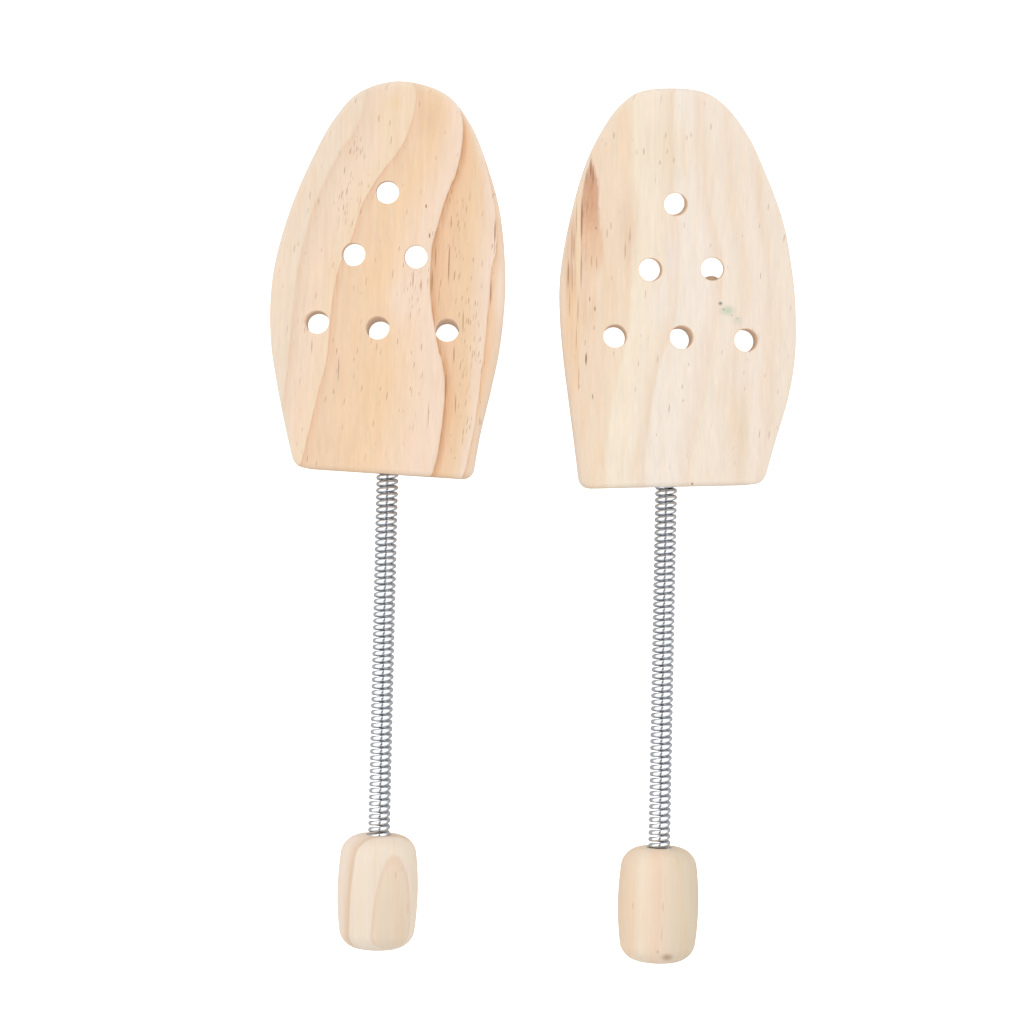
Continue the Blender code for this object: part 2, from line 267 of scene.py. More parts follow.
# Thin dark marks along the grain: (x, from y, to y, half width, strength), lengths in millimetres
LEFT_THREAD_COLOUR = (166, 112, 76)
LEFT_THREADS = (
    (19.5, 81, 63.5, 0.36, 0.80),
    (13.9, 72, 60, 0.34, 0.80),
    (14.9, 80, 70, 0.30, 0.70),
    (16.4, 66, 56, 0.28, 0.45),
    (24.9, 58, 47, 0.30, 0.65),
    (22.1, 45, 37, 0.30, 0.75),
    (23.1, 29, 19.5, 0.30, 0.65),
    (19.7, 37.5, 23.5, 0.34, 0.75),
    (14.0, 26, 14, 0.26, 0.55),
    (35.0, 90.5, 78, 0.40, 0.85),
    (34.1, 69, 57, 0.36, 0.75),
    (7.4, 69.5, 63, 0.28, 0.70),
    (10.2, 68, 61.5, 0.28, 0.70),
    (-17.0, 41, 29.5, 0.30, 0.60),
    (-26.4, 46, 39.5, 0.28, 0.55),
    (12.6, 83.5, 81, 0.40, 0.95),
    (11.1, 93.5, 91.5, 0.40, 0.95),
)
# Where the left block's flecks crowd together, in metres: (centre x and y, radii). The last value is
# how many there are elsewhere, as a share of the crowds
LEFT_FLECK_CROWDS = (
    ((-0.0145, 0.0990), (0.0085, 0.0230)),
    ((0.0084, 0.0670), (0.0060, 0.0180)),
    ((0.0230, 0.0830), (0.0055, 0.0240)),
    ((0.0349, 0.0754), (0.0022, 0.0160)),
    ((0.0087, 0.0252), (0.0050, 0.0190)),
    ((-0.0174, 0.0331), (0.0028, 0.0110)),
    ((0.0272, 0.0430), (0.0070, 0.0400)),
)
LEFT_FLECKS_ELSEWHERE = 0.09

# The right block's growth lines, zones and late wood, listed as the left one's are
RIGHT_GROWTH_LINES = (
    ((-13.5, 122.5), (-13.0, 98.5), (-13.4, 70.3), (-13.9, 54.3), (-16.1, 42.8), (-19.1, 29.0),
     (-20.2, 21.8), (-20.8, 13.0), (-21.0, 1.4)),
    ((0.1, 136.8), (0.4, 116.5), (0.8, 102.4), (2.7, 92.6), (3.1, 81.4), (2.9, 64.0), (0.6, 53.5),
     (-2.4, 44.8), (-4.6, 36.2), (-6.4, 24.5), (-7.6, 13.2), (-8.0, 1.7)),
    ((9.9, 134.3), (10.2, 125.5), (11.1, 109.7), (11.8, 99.1), (14.0, 90.4), (16.3, 81.0),
     (16.6, 66), (14.3, 50.3), (12.2, 40.0), (10.4, 28), (7.2, 14.5), (6.0, 2.0)),
    ((20.7, 124.0), (21.5, 109.9), (22.5, 97.6), (24.0, 87.1), (25.4, 77.7), (25.3, 64.5), (23.2, 47.1),
     (22.3, 36.7), (22.2, 23.0), (22.8, 12), (24.2, 3.3)),
    ((29.5, 113.6), (31.3, 99.6), (33.0, 83.9), (34.8, 64.7), (35.5, 47.4), (35.8, 37.0), (35.1, 25.3),
     (33.7, 16.4)),
)
RIGHT_ZONE_COLOURS = (
    (0.40, (238, 212, 184)),
    (0.70, (240, 216, 190)),
    (0.97, (242, 220, 194)),
    (1.02, (245, 230, 208)),
    (1.60, (244, 229, 209)),
    (1.96, (239, 219, 198)),
    (2.03, (243, 230, 215)),
    (2.60, (244, 231, 217)),
    (2.96, (240, 221, 203)),
    (3.03, (242, 225, 206)),
    (3.40, (243, 228, 211)),
    (3.96, (239, 220, 200)),
    (4.03, (242, 226, 209)),
    (4.60, (242, 226, 210)),
    (4.96, (238, 219, 199)),
    (5.03, (241, 225, 207)),
    (5.50, (240, 224, 206)),
)
RIGHT_RING_SLANT = -0.3
RIGHT_LATE_WOOD = (
    (2, 1.4, 0.40, (238, 204, 180)),
    (3, 1.8, 0.30, (238, 208, 182)),
    (4, 1.6, 0.30, (236, 210, 180)),
)
RIGHT_FLECK_AMOUNT = 0.04

# Stains, in metres: (centre x and y, radii, strength, colour)
LEFT_STAINS = (
    ((0.0122, 0.1240), (0.0080, 0.0120), 0.7, (233, 197, 161)),
    ((-0.0036, 0.1230), (0.0070, 0.0110), 0.5, (243, 218, 179)),
    ((-0.0006, 0.1287), (0.0040, 0.0045), 0.8, (240, 212, 172)),
    ((0.0031, 0.0595), (0.0070, 0.0120), 0.6, (247, 223, 205)),
    ((-0.0040, 0.0287), (0.0140, 0.0220), 0.4, (240, 204, 162)),
    ((0.0375, 0.0625), (0.0030, 0.0190), 0.8, (246, 226, 209)),
)
RIGHT_STAINS = (
    ((-0.0008, 0.1170), (0.0190, 0.0180), 0.65, (240, 220, 194)),
    ((-0.0036, 0.0639), (0.0070, 0.0150), 0.65, (242, 231, 222)),
    ((-0.0145, 0.0880), (0.0060, 0.0250), 0.60, (230, 200, 174)),
    ((0.0246, 0.0180), (0.0036, 0.0260), 0.55, (228, 202, 168)),
    ((0.0004, 0.0772), (0.0040, 0.0120), 0.50, (239, 227, 224)),
    ((0.0195, 0.0607), (0.0040, 0.0027), 0.75, (190, 203, 176)),
    ((0.0228, 0.0572), (0.0030, 0.0024), 0.45, (200, 206, 184)),
    ((0.0171, 0.0631), (0.0011, 0.0010), 0.95, (110, 117, 100)),
    ((0.0182, 0.0610), (0.0006, 0.0006), 0.7, (130, 138, 118)),
    ((0.0210, 0.0590), (0.0005, 0.0005), 0.6, (140, 146, 126)),
    ((0.0229, 0.0580), (0.0005, 0.0005), 0.6, (140, 146, 126)),
    ((0.0077, 0.0010), (0.0006, 0.0006), 0.9, (70, 55, 45)),
)

# The resin streak of the right block: its two edges as (x, y) in millimetres, its colours along it as
# (y in millimetres, colour), and its strength
STREAK_LEFT_EDGE = (
    (-27.9, 115), (-28.8, 111), (-29.9, 107), (-30.6, 103), (-31.0, 95), (-31.1, 86), (-30.9, 77),
    (-30.8, 60),
)
STREAK_RIGHT_EDGE = (
    (-27.6, 115), (-26.2, 110), (-25.0, 106), (-24.5, 102), (-24.2, 96), (-23.8, 91), (-23.0, 85),
    (-22.6, 79), (-23.4, 74), (-25.5, 64), (-28.0, 50),
)
STREAK_COLOURS = (
    (64, (240, 214, 188)),
    (76, (236, 201, 168)),
    (86, (233, 192, 159)),
    (91, (224, 178, 145)),
    (97, (214, 165, 132)),
    (106, (208, 158, 124)),
    (114, (212, 168, 136)),
)
STREAK_STRENGTH = 0.92
# How wide its left edge fades and its right edge frays and fades, and the stretch of y over which its
# rear end fades out
STREAK_LEFT_FADE = 0.0005
STREAK_FRAY = 0.0026
STREAK_FADE = 0.0016
STREAK_REAR_END = (0.068, 0.078)
# The dark mottle in the streak: its colour, how it grows over a stretch of y towards the toe, and how
# it weakens over a distance from the left edge, both from one strength to another
STREAK_DARK = (180, 124, 90)
STREAK_DARKENS = (0.082, 0.098, 0.35, 1.0)
STREAK_LIGHTENS = (0.0, 0.004, 1.0, 0.4)
# Patches of pale and brown strands left of the streak, in metres: (centre x and y, radii, strength,
# colour)
STRAND_PATCHES = (
    ((-0.0343, 0.0770), (0.0028, 0.0230), 0.90, (221, 178, 142)),
    ((-0.0335, 0.0480), (0.0040, 0.0270), 0.85, (240, 204, 164)),
    ((-0.0285, 0.0640), (0.0034, 0.0150), 0.60, (233, 198, 166)),
    ((-0.0318, 0.0850), (0.0010, 0.0260), 0.90, (241, 214, 176)),
)
# Thin dark marks on the right block, most of them in and beside the streak, listed as the left one's are
RIGHT_THREAD_COLOUR = (146, 92, 60)
RIGHT_THREADS = (
    (-27.9, 115, 105, 0.42, 0.85),
    (-27.1, 112, 102, 0.32, 0.70),
    (-29.4, 110, 103, 0.34, 0.50),
    (-30.8, 103, 80, 0.45, 0.80),
    (-30.7, 83, 65, 0.32, 0.65),
    (-31.6, 67, 53, 0.28, 0.40),
    (-32.0, 57, 44, 0.26, 0.35),
    (-31.0, 42, 30, 0.34, 0.35),
    (-32.6, 101, 84, 0.26, 0.50),
    (-34.0, 92, 76, 0.28, 0.45),
    (-35.1, 79, 66, 0.34, 0.65),
    (-33.7, 78, 64, 0.28, 0.50),
    (-34.5, 68, 56, 0.26, 0.40),
    (-33.3, 88, 76, 0.26, 0.40),
    (-25.4, 79.5, 73, 0.28, 0.45),
    (-27.2, 80, 74, 0.28, 0.45),
    (-27.6, 65, 62.5, 0.36, 0.60),
    (-25.9, 61.4, 59.4, 0.36, 0.60),
    (-26.0, 55, 52.5, 0.30, 0.45),
    (-28.6, 46, 40, 0.42, 0.95),
    (-26.2, 31.5, 28.7, 0.36, 0.60),
    (-30.9, 35, 32, 0.36, 0.50),
    (-25.8, 89.4, 87.8, 0.36, 0.60),
    (-15.7, 85, 76.5, 0.32, 0.45),
    (-20.7, 91.5, 87.5, 0.32, 0.40),
    (-22.0, 89, 84.5, 0.30, 0.40),
    (-14.1, 91, 82, 0.30, 0.30),
    (-9.7, 117.5, 114, 0.34, 0.50),
    (-4.1, 113.2, 110.8, 0.32, 0.45),
    (0.7, 114.2, 111.6, 0.32, 0.40),
    (-20.1, 123, 119.5, 0.32, 0.45),
    (6.5, 123.2, 120.6, 0.28, 0.35),
    (5.1, 122.2, 119.6, 0.28, 0.35),
    (13.4, 126.8, 123.2, 0.30, 0.40),
    (6.4, 42.8, 40.8, 0.30, 0.35),
    (4.2, 35.4, 32.8, 0.34, 0.40),
    (4.5, 30.2, 28.4, 0.30, 0.35),
)

# Growth layers of the knobs: how they bow along the grain, the direction across them, their colours as
# (millimetres in that direction, colour), and the knobs' stains
KNOB_LAYER_BOW = 2.0
LEFT_KNOB_LAYERS = (0.462, -0.075, 0.887)
# Growth layer colours, with the stops below about 1 mm painted paler: painted light that lifts the shade
# where the barrel curves away on its lower left
LEFT_KNOB_COLOURS_WITH_PAINTED_LIGHT = (
    (-14, (250, 232, 214)),
    (1.2, (247, 228, 210)),
    (3.2, (240, 218, 196)),
    (5.1, (230, 203, 177)),
    (5.5, (233, 208, 183)),
    (5.9, (243, 226, 206)),
    (8.5, (243, 228, 208)),
    (12.1, (242, 226, 206)),
    (12.35, (236, 210, 187)),
    (12.9, (237, 217, 193)),
    (14, (234, 214, 190)),
)
LEFT_KNOB_STAINS = (
    ((0.0066, -0.1358), (0.0005, 0.0020), 0.30, (176, 134, 102)),
    ((0.0086, -0.1338), (0.0004, 0.0014), 0.20, (176, 134, 102)),
    ((0.0109, -0.1475), (0.0003, 0.0034), 0.35, (190, 148, 116)),
)
RIGHT_KNOB_LAYERS = (0.99, 0.0, 0.15)
RIGHT_KNOB_COLOURS = (
    (-14, (240, 215, 187)),
    (-8, (245, 220, 192)),
    (-4, (246, 228, 205)),
    (0, (243, 216, 190)),
    (3, (240, 217, 194)),
    (7, (229, 211, 186)),
    (12, (226, 208, 182)),
)
RIGHT_KNOB_STAINS = (
    ((0.0059, -0.1281), (0.0038, 0.0035), 0.6, (226, 206, 174)),
    ((0.0027, -0.1594), (0.0030, 0.0020), 0.95, (188, 156, 126)),
    ((-0.0006, -0.1574), (0.0007, 0.0010), 0.45, (176, 136, 110)),
    ((0.0006, -0.1515), (0.0006, 0.0050), 0.35, (206, 172, 146)),
    ((-0.0092, -0.1424), (0.0004, 0.0020), 0.30, (176, 132, 98)),
    ((0.0008, -0.1420), (0.0004, 0.0028), 0.35, (176, 132, 98)),
)

# Sizes of the wood's markings, across the grain, along it and in depth
FINE_FIBRE = (0.00035, 0.014, 0.0008)
BROAD_FIBRE = (0.0012, 0.050, 0.002)
CLOUD_SIZE = (0.009, 0.020, 0.010)
WARM_SIZE = (0.0024, 0.045, 0.006)
TREMBLE_SIZE = (0.002, 0.020, 0.004)
FLECK_CLOUD = (0.004, 0.012, 0.010)
LATE_WOOD_FIBRE = (0.0006, 0.026, 0.003)
STREAK_MOTTLE = (0.0007, 0.0035, 0.002)
STRAND_FIBRE = (0.0005, 0.045, 0.002)

# How noises, from 0 to 1, turn into markings: the noise's low and high ends, then what they become
WARM_RANGE = (0.45, 0.75)
CROWD_RANGE = (0.35, 0.65, 0.2, 0.75)
LATE_WOOD_RANGE = (0.3, 0.65, 0.3, 1.0)
STREAK_DARK_RANGE = (0.42, 0.72, 0.0, 0.8)
STRAND_RANGE = (0.35, 0.6, 0.35, 1.0)

# Flecks in three layers: (the cell that may hold one, across the grain and along it, the fleck's size
# as a share of its cell, how many of the cells are used), and how far they shift sideways with depth
FLECK_LAYERS = (
    ((0.0008, 0.0062), 0.25, 1.0),
    ((0.0011, 0.0098), 0.20, 1.0),
    ((0.0015, 0.0200), 0.11, 0.6),
)
FLECK_SLANT = 0.5
# Each fleck's reach as a share of its size and its depth of colour: (what chance adds, the least)
FLECK_REACH = (0.7, 0.5)
FLECK_DEPTH = (0.7, 0.3)

# The share of its radii over which a soft spot is at its full strength
FLECK_CORE = 0.45
THREAD_CORE = 0.3
CROWD_CORE = 0.4
STRAND_CORE = 0.5

# How wide the growth lines' edges and their tremble are, and how late wood weakens towards the toe:
# over a stretch of y, from one strength to another
LINE_EDGE = 0.00016
TREMBLE_WIDTH = 0.0012
LATE_WOOD_WEAKENS = (0.100, 0.128, 1.0, 0.5)

# How strongly the pine's clouds, warm patches, roughness, relief and pale edges show; the pale edges are
# partly sanding wear and partly a painted highlight
CLOUD_CONTRAST = 0.05
WARM_SHARE = 0.25
ROUGHNESS_SWING = 0.25
FINE_RELIEF = 0.4
BROAD_RELIEF = 0.6
FLECK_RELIEF = 0.4
BUMP_STRENGTH = 0.25
BUMP_DEPTH = 0.0001
# The pale edges, partly sanding wear and partly a painted highlight on the bright rims: their width,
# strength and fall-off
EDGE_WEAR_AND_HIGHLIGHT_WIDTH = 0.003
EDGE_WEAR_AND_HIGHLIGHT_SHARE = 0.7
EDGE_WEAR_AND_HIGHLIGHT_POWER = 1.6

# Colours of the plain woods and of what lies over them
PLAIN_PINE = (236, 210, 180)
WARM_TINT = (255, 233, 205)
FLECK_COLOUR = (158, 102, 68)
# Pale edges: partly sanding wear, partly a painted highlight for the bright rounded rims
EDGE_WEAR_AND_HIGHLIGHT_COLOUR = (252, 238, 222)
DRILLED_PINE = (228, 197, 166)
TORN_PINE = (240, 214, 190)
# Painted glow: an emission that brightens the shaded walls of the holes
PAINTED_HOLE_GLOW = (92, 96, 94)
BEECH = (206, 164, 122)

# How far to both sides of the spring's axis the drawn lines may run, and where the outermost zones end
ROUTE_SPAN = 0.16
ZONES_END = ROUTE_SPAN / 3

# The wire: its two greys, how often its mottle and its drawing marks come in a metre, the mottle's
# share of the second grey and its roughness, both by the noise's low and high ends, and the marks'
# strength and depth
WIRE_GREYS = ((214, 216, 219), (204, 207, 211))
WIRE_MOTTLE = 900.0
WIRE_MARKS = 5200.0
WIRE_GREY_RANGE = (0.35, 0.7)
WIRE_ROUGHNESS_RANGE = (0.3, 0.8, 0.12, 0.26)
WIRE_MARK_STRENGTH = 0.15
WIRE_MARK_DEPTH = 0.00002

# The studio: camera straight above the pair, soft boxes, and a dark card seen only in the wire
CAMERA_PLACE = (-0.00705, 0.00219, 0.814)
CAMERA_LENS = 81.84
FLOOR_DROP = 0.0003
FLOOR_SIZE = 6.0
FLOOR_SHINE = 0.95
FLOOR_ROUGHNESS = 0.9
FLOOR_COLOUR = (244, 244, 244)
FLOOR_IN_WIRE = (204, 205, 208)
WHITE = (1.0, 1.0, 1.0, 1.0)
SKY_LIGHT = 0.67
SKY_IN_WIRE = 1.5
CARD_PLACE = (0.020, 0.0, 0.75)
CARD_SIZE = (0.28, 8.0)
CARD_COLOUR = (122, 122, 126)
# Lamps: (name, place, size, watts)
SOFT_BOXES = (
    ("left_soft_box", (-0.9, 0.0, 0.9), (0.8, 1.4), 3.4),
    ("right_soft_box", (0.9, 0.0, 0.9), (0.8, 1.4), 3.4),
    ("toe_soft_box", (0.0, 1.1, 0.8), (1.0, 0.6), 2.2),
)


def linear(red, green, blue):
    """A colour as it looks, 0 to 255 each, as the scene-linear colour that shaders take."""
    channels = []
    for value in (red, green, blue):
        share = value / 255
        channels.append(share / 12.92 if share <= 0.04045 else ((share + 0.055) / 1.055) ** 2.4)
    return (*channels, 1.0)


# Placing and joining

def tree_matrix(entry, lean):
    """From a tree's own frame to the shared frame."""
    return Matrix.Translation((*entry, 0)) @ Matrix.Rotation(math.radians(lean), 4, "Z")


def quarter_turn(steps):
    """Evenly spaced angles from 0 to a right angle, with both ends."""
    return [math.pi / 2 * step / steps for step in range(steps + 1)]


def full_turn(sides):
    """Evenly spaced angles round a circle."""
    return [2 * math.pi * side / sides for side in range(sides)]


def add_mesh_object(name, shape, finishes, matrix):
    """Turns a bmesh into a smooth shaded object placed by a matrix."""
    bmesh.ops.recalc_face_normals(shape, faces=shape.faces)
    mesh = bpy.data.meshes.new(name)
    shape.to_mesh(mesh)
    shape.free()
    for finish in finishes:
        mesh.materials.append(finish)
    mesh.shade_smooth()
    mesh.set_sharp_from_angle(angle=SHARP_ANGLE)
    thing = bpy.data.objects.new(name, mesh)
    bpy.context.scene.collection.objects.link(thing)
    thing.matrix_world = matrix
    return thing


def join_rings(shape, rings):
    """Faces between each ring of points and the next."""
    for ring, following in zip(rings, rings[1:]):
        for index in range(len(ring)):
            after = (index + 1) % len(ring)
            shape.faces.new((ring[index], ring[after], following[after], following[index]))


def add_tube(shape, rings):
    """Joins rings of points and closes both ends."""
    join_rings(shape, rings)
    shape.faces.new(reversed(rings[0]))
    shape.faces.new(rings[-1])


def add_turned(shape, profile, sides, matrix):
    """Adds a turned body. The profile lists (distance along the axis, radius)."""
    rings = []
    for distance, radius in profile:
        ring = []
        for angle in full_turn(sides):
            point = Vector((radius * math.sin(angle), distance, -radius * math.cos(angle)))
            ring.append(shape.verts.new(matrix @ point))
        rings.append(ring)
    add_tube(shape, rings)


# Toe blocks

def half_width(across):
    """The block's half width on the side where a point lies: the outer one for values above 0."""
    return OUTER_HALF_WIDTH if across > 0 else INNER_HALF_WIDTH


def from_shares(across, along):
    """A point from its shares of the half width on its side and of the block's length."""
    return across * half_width(across), along * BLOCK_LENGTH


def toe_curve(shares):
    """A smooth fine line through the outline's points, as an array of x and y."""
    corners = np.array([from_shares(across, along) for across, along in shares])
    before = 2 * corners[0] - corners[1]
    behind = 2 * corners[-1] - corners[-2]
    control = np.vstack([before, corners, behind])
    line = []
    for a, b, c, d in zip(control, control[1:], control[2:], control[3:]):
        for step in range(CURVE_STEPS):
            t = step / CURVE_STEPS
            bend = (2 * a - 5 * b + 4 * c - d) * t**2 + (3 * b - a - 3 * c + d) * t**3
            line.append((2 * b + (c - a) * t + bend) / 2)
    line.append(corners[-1])
    return np.array(line)


def moved_inwards(line, distance):
    """The line shifted to its left, towards the inside of the block."""
    run = np.gradient(line, axis=0)
    run /= np.linalg.norm(run, axis=1)[:, None]
    inwards = np.column_stack([-run[:, 1], run[:, 0]])
    return line + inwards * distance


def block_loop(shares, side_inset, rear_inset, corner_radius):
    """A closed loop round the block, set in by the two insets.
    It starts at the outer rear corner, goes round the toe and comes back across the rear."""
    edge = toe_curve(shares)
    rear = (edge[-1] - edge[0]) / np.linalg.norm(edge[-1] - edge[0])
    forwards = np.array([rear[1], -rear[0]])
    line = moved_inwards(edge, side_inset)
    height = (line - edge[0]) @ forwards - rear_inset
    length = np.concatenate([[0], np.cumsum(np.linalg.norm(np.diff(line, axis=0), axis=1))])
    toe = int(np.argmax(height))

    def at(place):
        x = np.interp(place, length, line[:, 0])
        y = np.interp(place, length, line[:, 1])
        return np.array([x, y])

    def outer_side(level):
        return np.interp(level, height[:toe], length[:toe])

    def inner_side(level):
        return np.interp(level, height[:toe:-1], length[:toe:-1])

    def corner(side_point, tip, rear_point):
        """The points between the side and the rear, round a corner whose sharp tip is given."""
        points = []
        for step in range(1, CORNER_STEPS):
            t = step / CORNER_STEPS
            points.append(side_point * (1 - t) ** 2 + tip * 2 * t * (1 - t) + rear_point * t**2)
        return points

    outer_tip = at(outer_side(0))
    inner_tip = at(inner_side(0))
    start = outer_side(corner_radius)
    end = inner_side(corner_radius)
    outer_rear = outer_tip + rear * corner_radius
    inner_rear = inner_tip - rear * corner_radius
    outer_round = corner(at(start), outer_tip, outer_rear)[::-1]
    inner_round = corner(at(end), inner_tip, inner_rear)
    sides = [at(place) for place in np.linspace(start, end, SIDE_POINTS)]
    across = np.linspace(inner_rear, outer_rear, CROWN_COLUMNS + 1)[1:-1]
    return np.array([outer_rear, *outer_round, *sides, *inner_round, inner_rear, *across])


def top_height(x, y):
    """Height of the block's top: a wedge that sweeps down to the toe, crowned across."""
    towards_rear = min(max(1 - y / BLOCK_LENGTH, 0), 1)
    wedge = TOE_THICKNESS + (REAR_THICKNESS - TOE_THICKNESS) * towards_rear**WEDGE_POWER
    return wedge - TOP_CROWN * (x / half_width(x)) ** 2


def edge_radii(count):
    """The top edge's radius at each point of a loop: small across the rear, full along the sides."""
    round_toe = count - (CROWN_COLUMNS - 1)
    radii = []
    for index in range(count):
        from_rear = max(min(index, round_toe - 1 - index), 0)
        share = min(from_rear / CORNER_STEPS, 1)
        radii.append(REAR_EDGE_RADIUS + (TOP_EDGE_RADIUS - REAR_EDGE_RADIUS) * share)
    return radii


def block_shape(shares, mirror):
    """The uncut toe block as stacked loops: sole, rounded edges, wall, rounded edges and top."""
    outer = block_loop(shares, 0, 0, REAR_CORNER_RADIUS + REAR_EDGE_RADIUS)
    sole = block_loop(shares, SOLE_EDGE_RADIUS, SOLE_EDGE_RADIUS, REAR_CORNER_RADIUS)
    top = block_loop(shares, TOP_EDGE_RADIUS, REAR_EDGE_RADIUS, REAR_CORNER_RADIUS)
    heights = [top_height(x, y) for x, y in top]
    radii = edge_radii(len(top))
    shape = bmesh.new()

    def add_loop(points, levels):
        return [shape.verts.new((x * mirror, y, z)) for (x, y), z in zip(points, levels)]

    loops = []
    for angle in quarter_turn(SOLE_EDGE_STEPS):
        points = sole + (outer - sole) * math.sin(angle)
        loops.append(add_loop(points, [SOLE_EDGE_RADIUS * (1 - math.cos(angle))] * len(points)))
    for angle in quarter_turn(TOP_EDGE_STEPS):
        points = top + (outer - top) * math.cos(angle)
        levels = [z - radius * (1 - math.sin(angle)) for z, radius in zip(heights, radii)]
        loops.append(add_loop(points, levels))
    join_rings(shape, loops)
    shape.faces.new(reversed(loops[0]))
    add_crowned_top(shape, loops[-1], top, mirror)
    return shape


def add_crowned_top(shape, rim, points, mirror):
    """Fills the top in rows that run across the block, each bent to the crown."""
    round_toe = len(rim) - (CROWN_COLUMNS - 1)
    rows = [[rim[0], *reversed(rim[round_toe:]), rim[round_toe - 1]]]
    for index in range(1, round_toe // 2):
        far = round_toe - 1 - index
        row = [rim[index]]
        for column in range(1, CROWN_COLUMNS):
            x, y = points[index] + (points[far] - points[index]) * column / CROWN_COLUMNS
            row.append(shape.verts.new((x * mirror, y, top_height(x, y))))
        rows.append([*row, rim[far]])
    for row, following in zip(rows, rows[1:]):
        for column in range(CROWN_COLUMNS):
            shape.faces.new((row[column], row[column + 1], following[column + 1], following[column]))
    shape.faces.new(rows[-1])


def tongue_at(angle):
    """How far the tongue stands in at an angle round its hole: it points towards the toe."""
    aside = math.remainder(angle + math.pi / 2, 2 * math.pi) / TONGUE_HALF_ANGLE
    return TONGUE_REACH * math.sqrt(max(1 - aside**2, 0))


def vent_cutter(name, vents, mirror, finish, matrix):
    """Drills for the vent holes. Each leans a little, and its rims round off the top and the sole."""
    shape = bmesh.new()
    for number, (shares, (drift_x, drift_y)) in enumerate(vents):
        tongue = mirror > 0 and number == TONGUE_VENT
        x, y = from_shares(*shares)
        rings = [(1.0, VENT_RADIUS + VENT_RIM_RADIUS, DRILL_OVERRUN)]
        for turn in quarter_turn(RIM_STEPS):
            radius = VENT_RADIUS + VENT_RIM_RADIUS * (1 - math.sin(turn))
            rings.append((1.0, radius, RIM_OVERLAP - VENT_RIM_RADIUS * (1 - math.cos(turn))))
        foot = [(0.0, radius, -above) for _, radius, above in reversed(rings)]
        rings += [(TONGUE_HEIGHT_SHARE, VENT_RADIUS, 0.0), *foot]
        loops = []
        for share, radius, above in rings:
            centre = Vector((x + drift_x * (1 - share), y + drift_y * (1 - share)))
            loop = []
            for angle in full_turn(VENT_SIDES):
                reach = radius - (tongue_at(angle) if tongue and share == 0 else 0)
                px = centre.x + reach * math.cos(angle)
                py = centre.y + reach * math.sin(angle)
                level = top_height(px, py) * share + above
                loop.append(shape.verts.new((px * mirror, py, level)))
            loops.append(loop)
        add_tube(shape, loops)
    return add_mesh_object(name, shape, [finish], matrix)


def socket_cutter(name, finish, matrix):
    """The bore for the spring's end, with a small lip at the face and the peg's pilot hole behind."""
    shape = bmesh.new()
    profile = [(-DRILL_OVERRUN, SOCKET_RADIUS + SOCKET_LIP_RADIUS)]
    for turn in quarter_turn(RIM_STEPS):
        radius = SOCKET_RADIUS + SOCKET_LIP_RADIUS * (1 - math.sin(turn))
        profile.append((SOCKET_LIP_RADIUS * (1 - math.cos(turn)) - RIM_OVERLAP, radius))
    profile += [
        (SOCKET_DEPTH, SOCKET_RADIUS),
        (SOCKET_DEPTH, PILOT_RADIUS),
        (SOCKET_DEPTH + PILOT_DEPTH, PILOT_RADIUS),
    ]
    add_turned(shape, profile, BORE_SIDES, Matrix.Translation((0, 0, AXIS_HEIGHT)))
    return add_mesh_object(name, shape, [finish], matrix)


def torn_rim_cutter(name, centre, finish, matrix):
    """A ragged sliver along the outer side of one vent hole, where the drill tore the wood out."""
    shape = bmesh.new()
    inner_low, outer_low, outer_high, inner_high = [], [], [], []
    for angle, width, depth in TORN_RIM:
        turn = math.radians(angle)
        for ring, radius, above in (
            (inner_low, VENT_RADIUS - TORN_OVERLAP, -depth),
            (outer_low, VENT_RADIUS + width * TORN_FOOT_SHARE, -depth),
            (outer_high, VENT_RADIUS + width, DRILL_OVERRUN),
            (inner_high, VENT_RADIUS - TORN_OVERLAP, DRILL_OVERRUN),
        ):
            x = centre[0] + radius * math.cos(turn)
            y = centre[1] + radius * math.sin(turn)
            ring.append(shape.verts.new((-x, y, top_height(x, y) + above)))
    bands = [inner_low, outer_low, outer_high, inner_high]
    for band, following in zip(bands, [*bands[1:], bands[0]]):
        for index in range(len(band) - 1):
            shape.faces.new((band[index], band[index + 1], following[index + 1], following[index]))
    for end in (0, -1):
        shape.faces.new([band[end] for band in bands])
    return add_mesh_object(name, shape, [finish], matrix)


def cut_out(block, cutters):
    """Cuts the cutters out of the block and removes them. Their finishes stay on the cut faces."""
    for cutter in cutters:
        cut = block.modifiers.new(cutter.name, "BOOLEAN")
        cut.operation = "DIFFERENCE"
        cut.solver = "EXACT"
        cut.object = cutter
        cut.material_mode = "TRANSFER"
    bpy.context.view_layer.update()
    evaluated = block.evaluated_get(bpy.context.evaluated_depsgraph_get())
    mesh = bpy.data.meshes.new_from_object(evaluated)
    block.modifiers.clear()
    block.data = mesh
    for cutter in cutters:
        bpy.data.objects.remove(cutter)
    mesh.shade_smooth()
    mesh.set_sharp_from_angle(angle=SHARP_ANGLE)


def mark_edge_wear_and_highlight(block, shares, mirror):
    """Stores how near each point of the block is to its outline, 1 at the edge and 0 well inside. It places
    the pale edges, partly wear and partly painted highlight.
    """
    edge = toe_curve(shares)
    count = len(block.data.vertices)
    points = np.empty(count * 3, np.float32)
    block.data.vertices.foreach_get("co", points)
    points = points.reshape(-1, 3)
    flat = points[:, :2] * (mirror, 1)
    away = np.full(count, np.inf)
    for start in range(0, len(edge), OUTLINE_POINTS_AT_ONCE):
        part = edge[start:start + OUTLINE_POINTS_AT_ONCE]
        away = np.minimum(away, np.linalg.norm(flat[:, None] - part[None], axis=2).min(axis=1))
    wear_and_highlight = np.clip(1 - away / EDGE_WEAR_AND_HIGHLIGHT_WIDTH, 0, 1).astype(np.float32)
    block.data.attributes.new("edge_wear_and_highlight", "FLOAT", "POINT").data.foreach_set("value", wear_and_highlight)


# Heel knobs

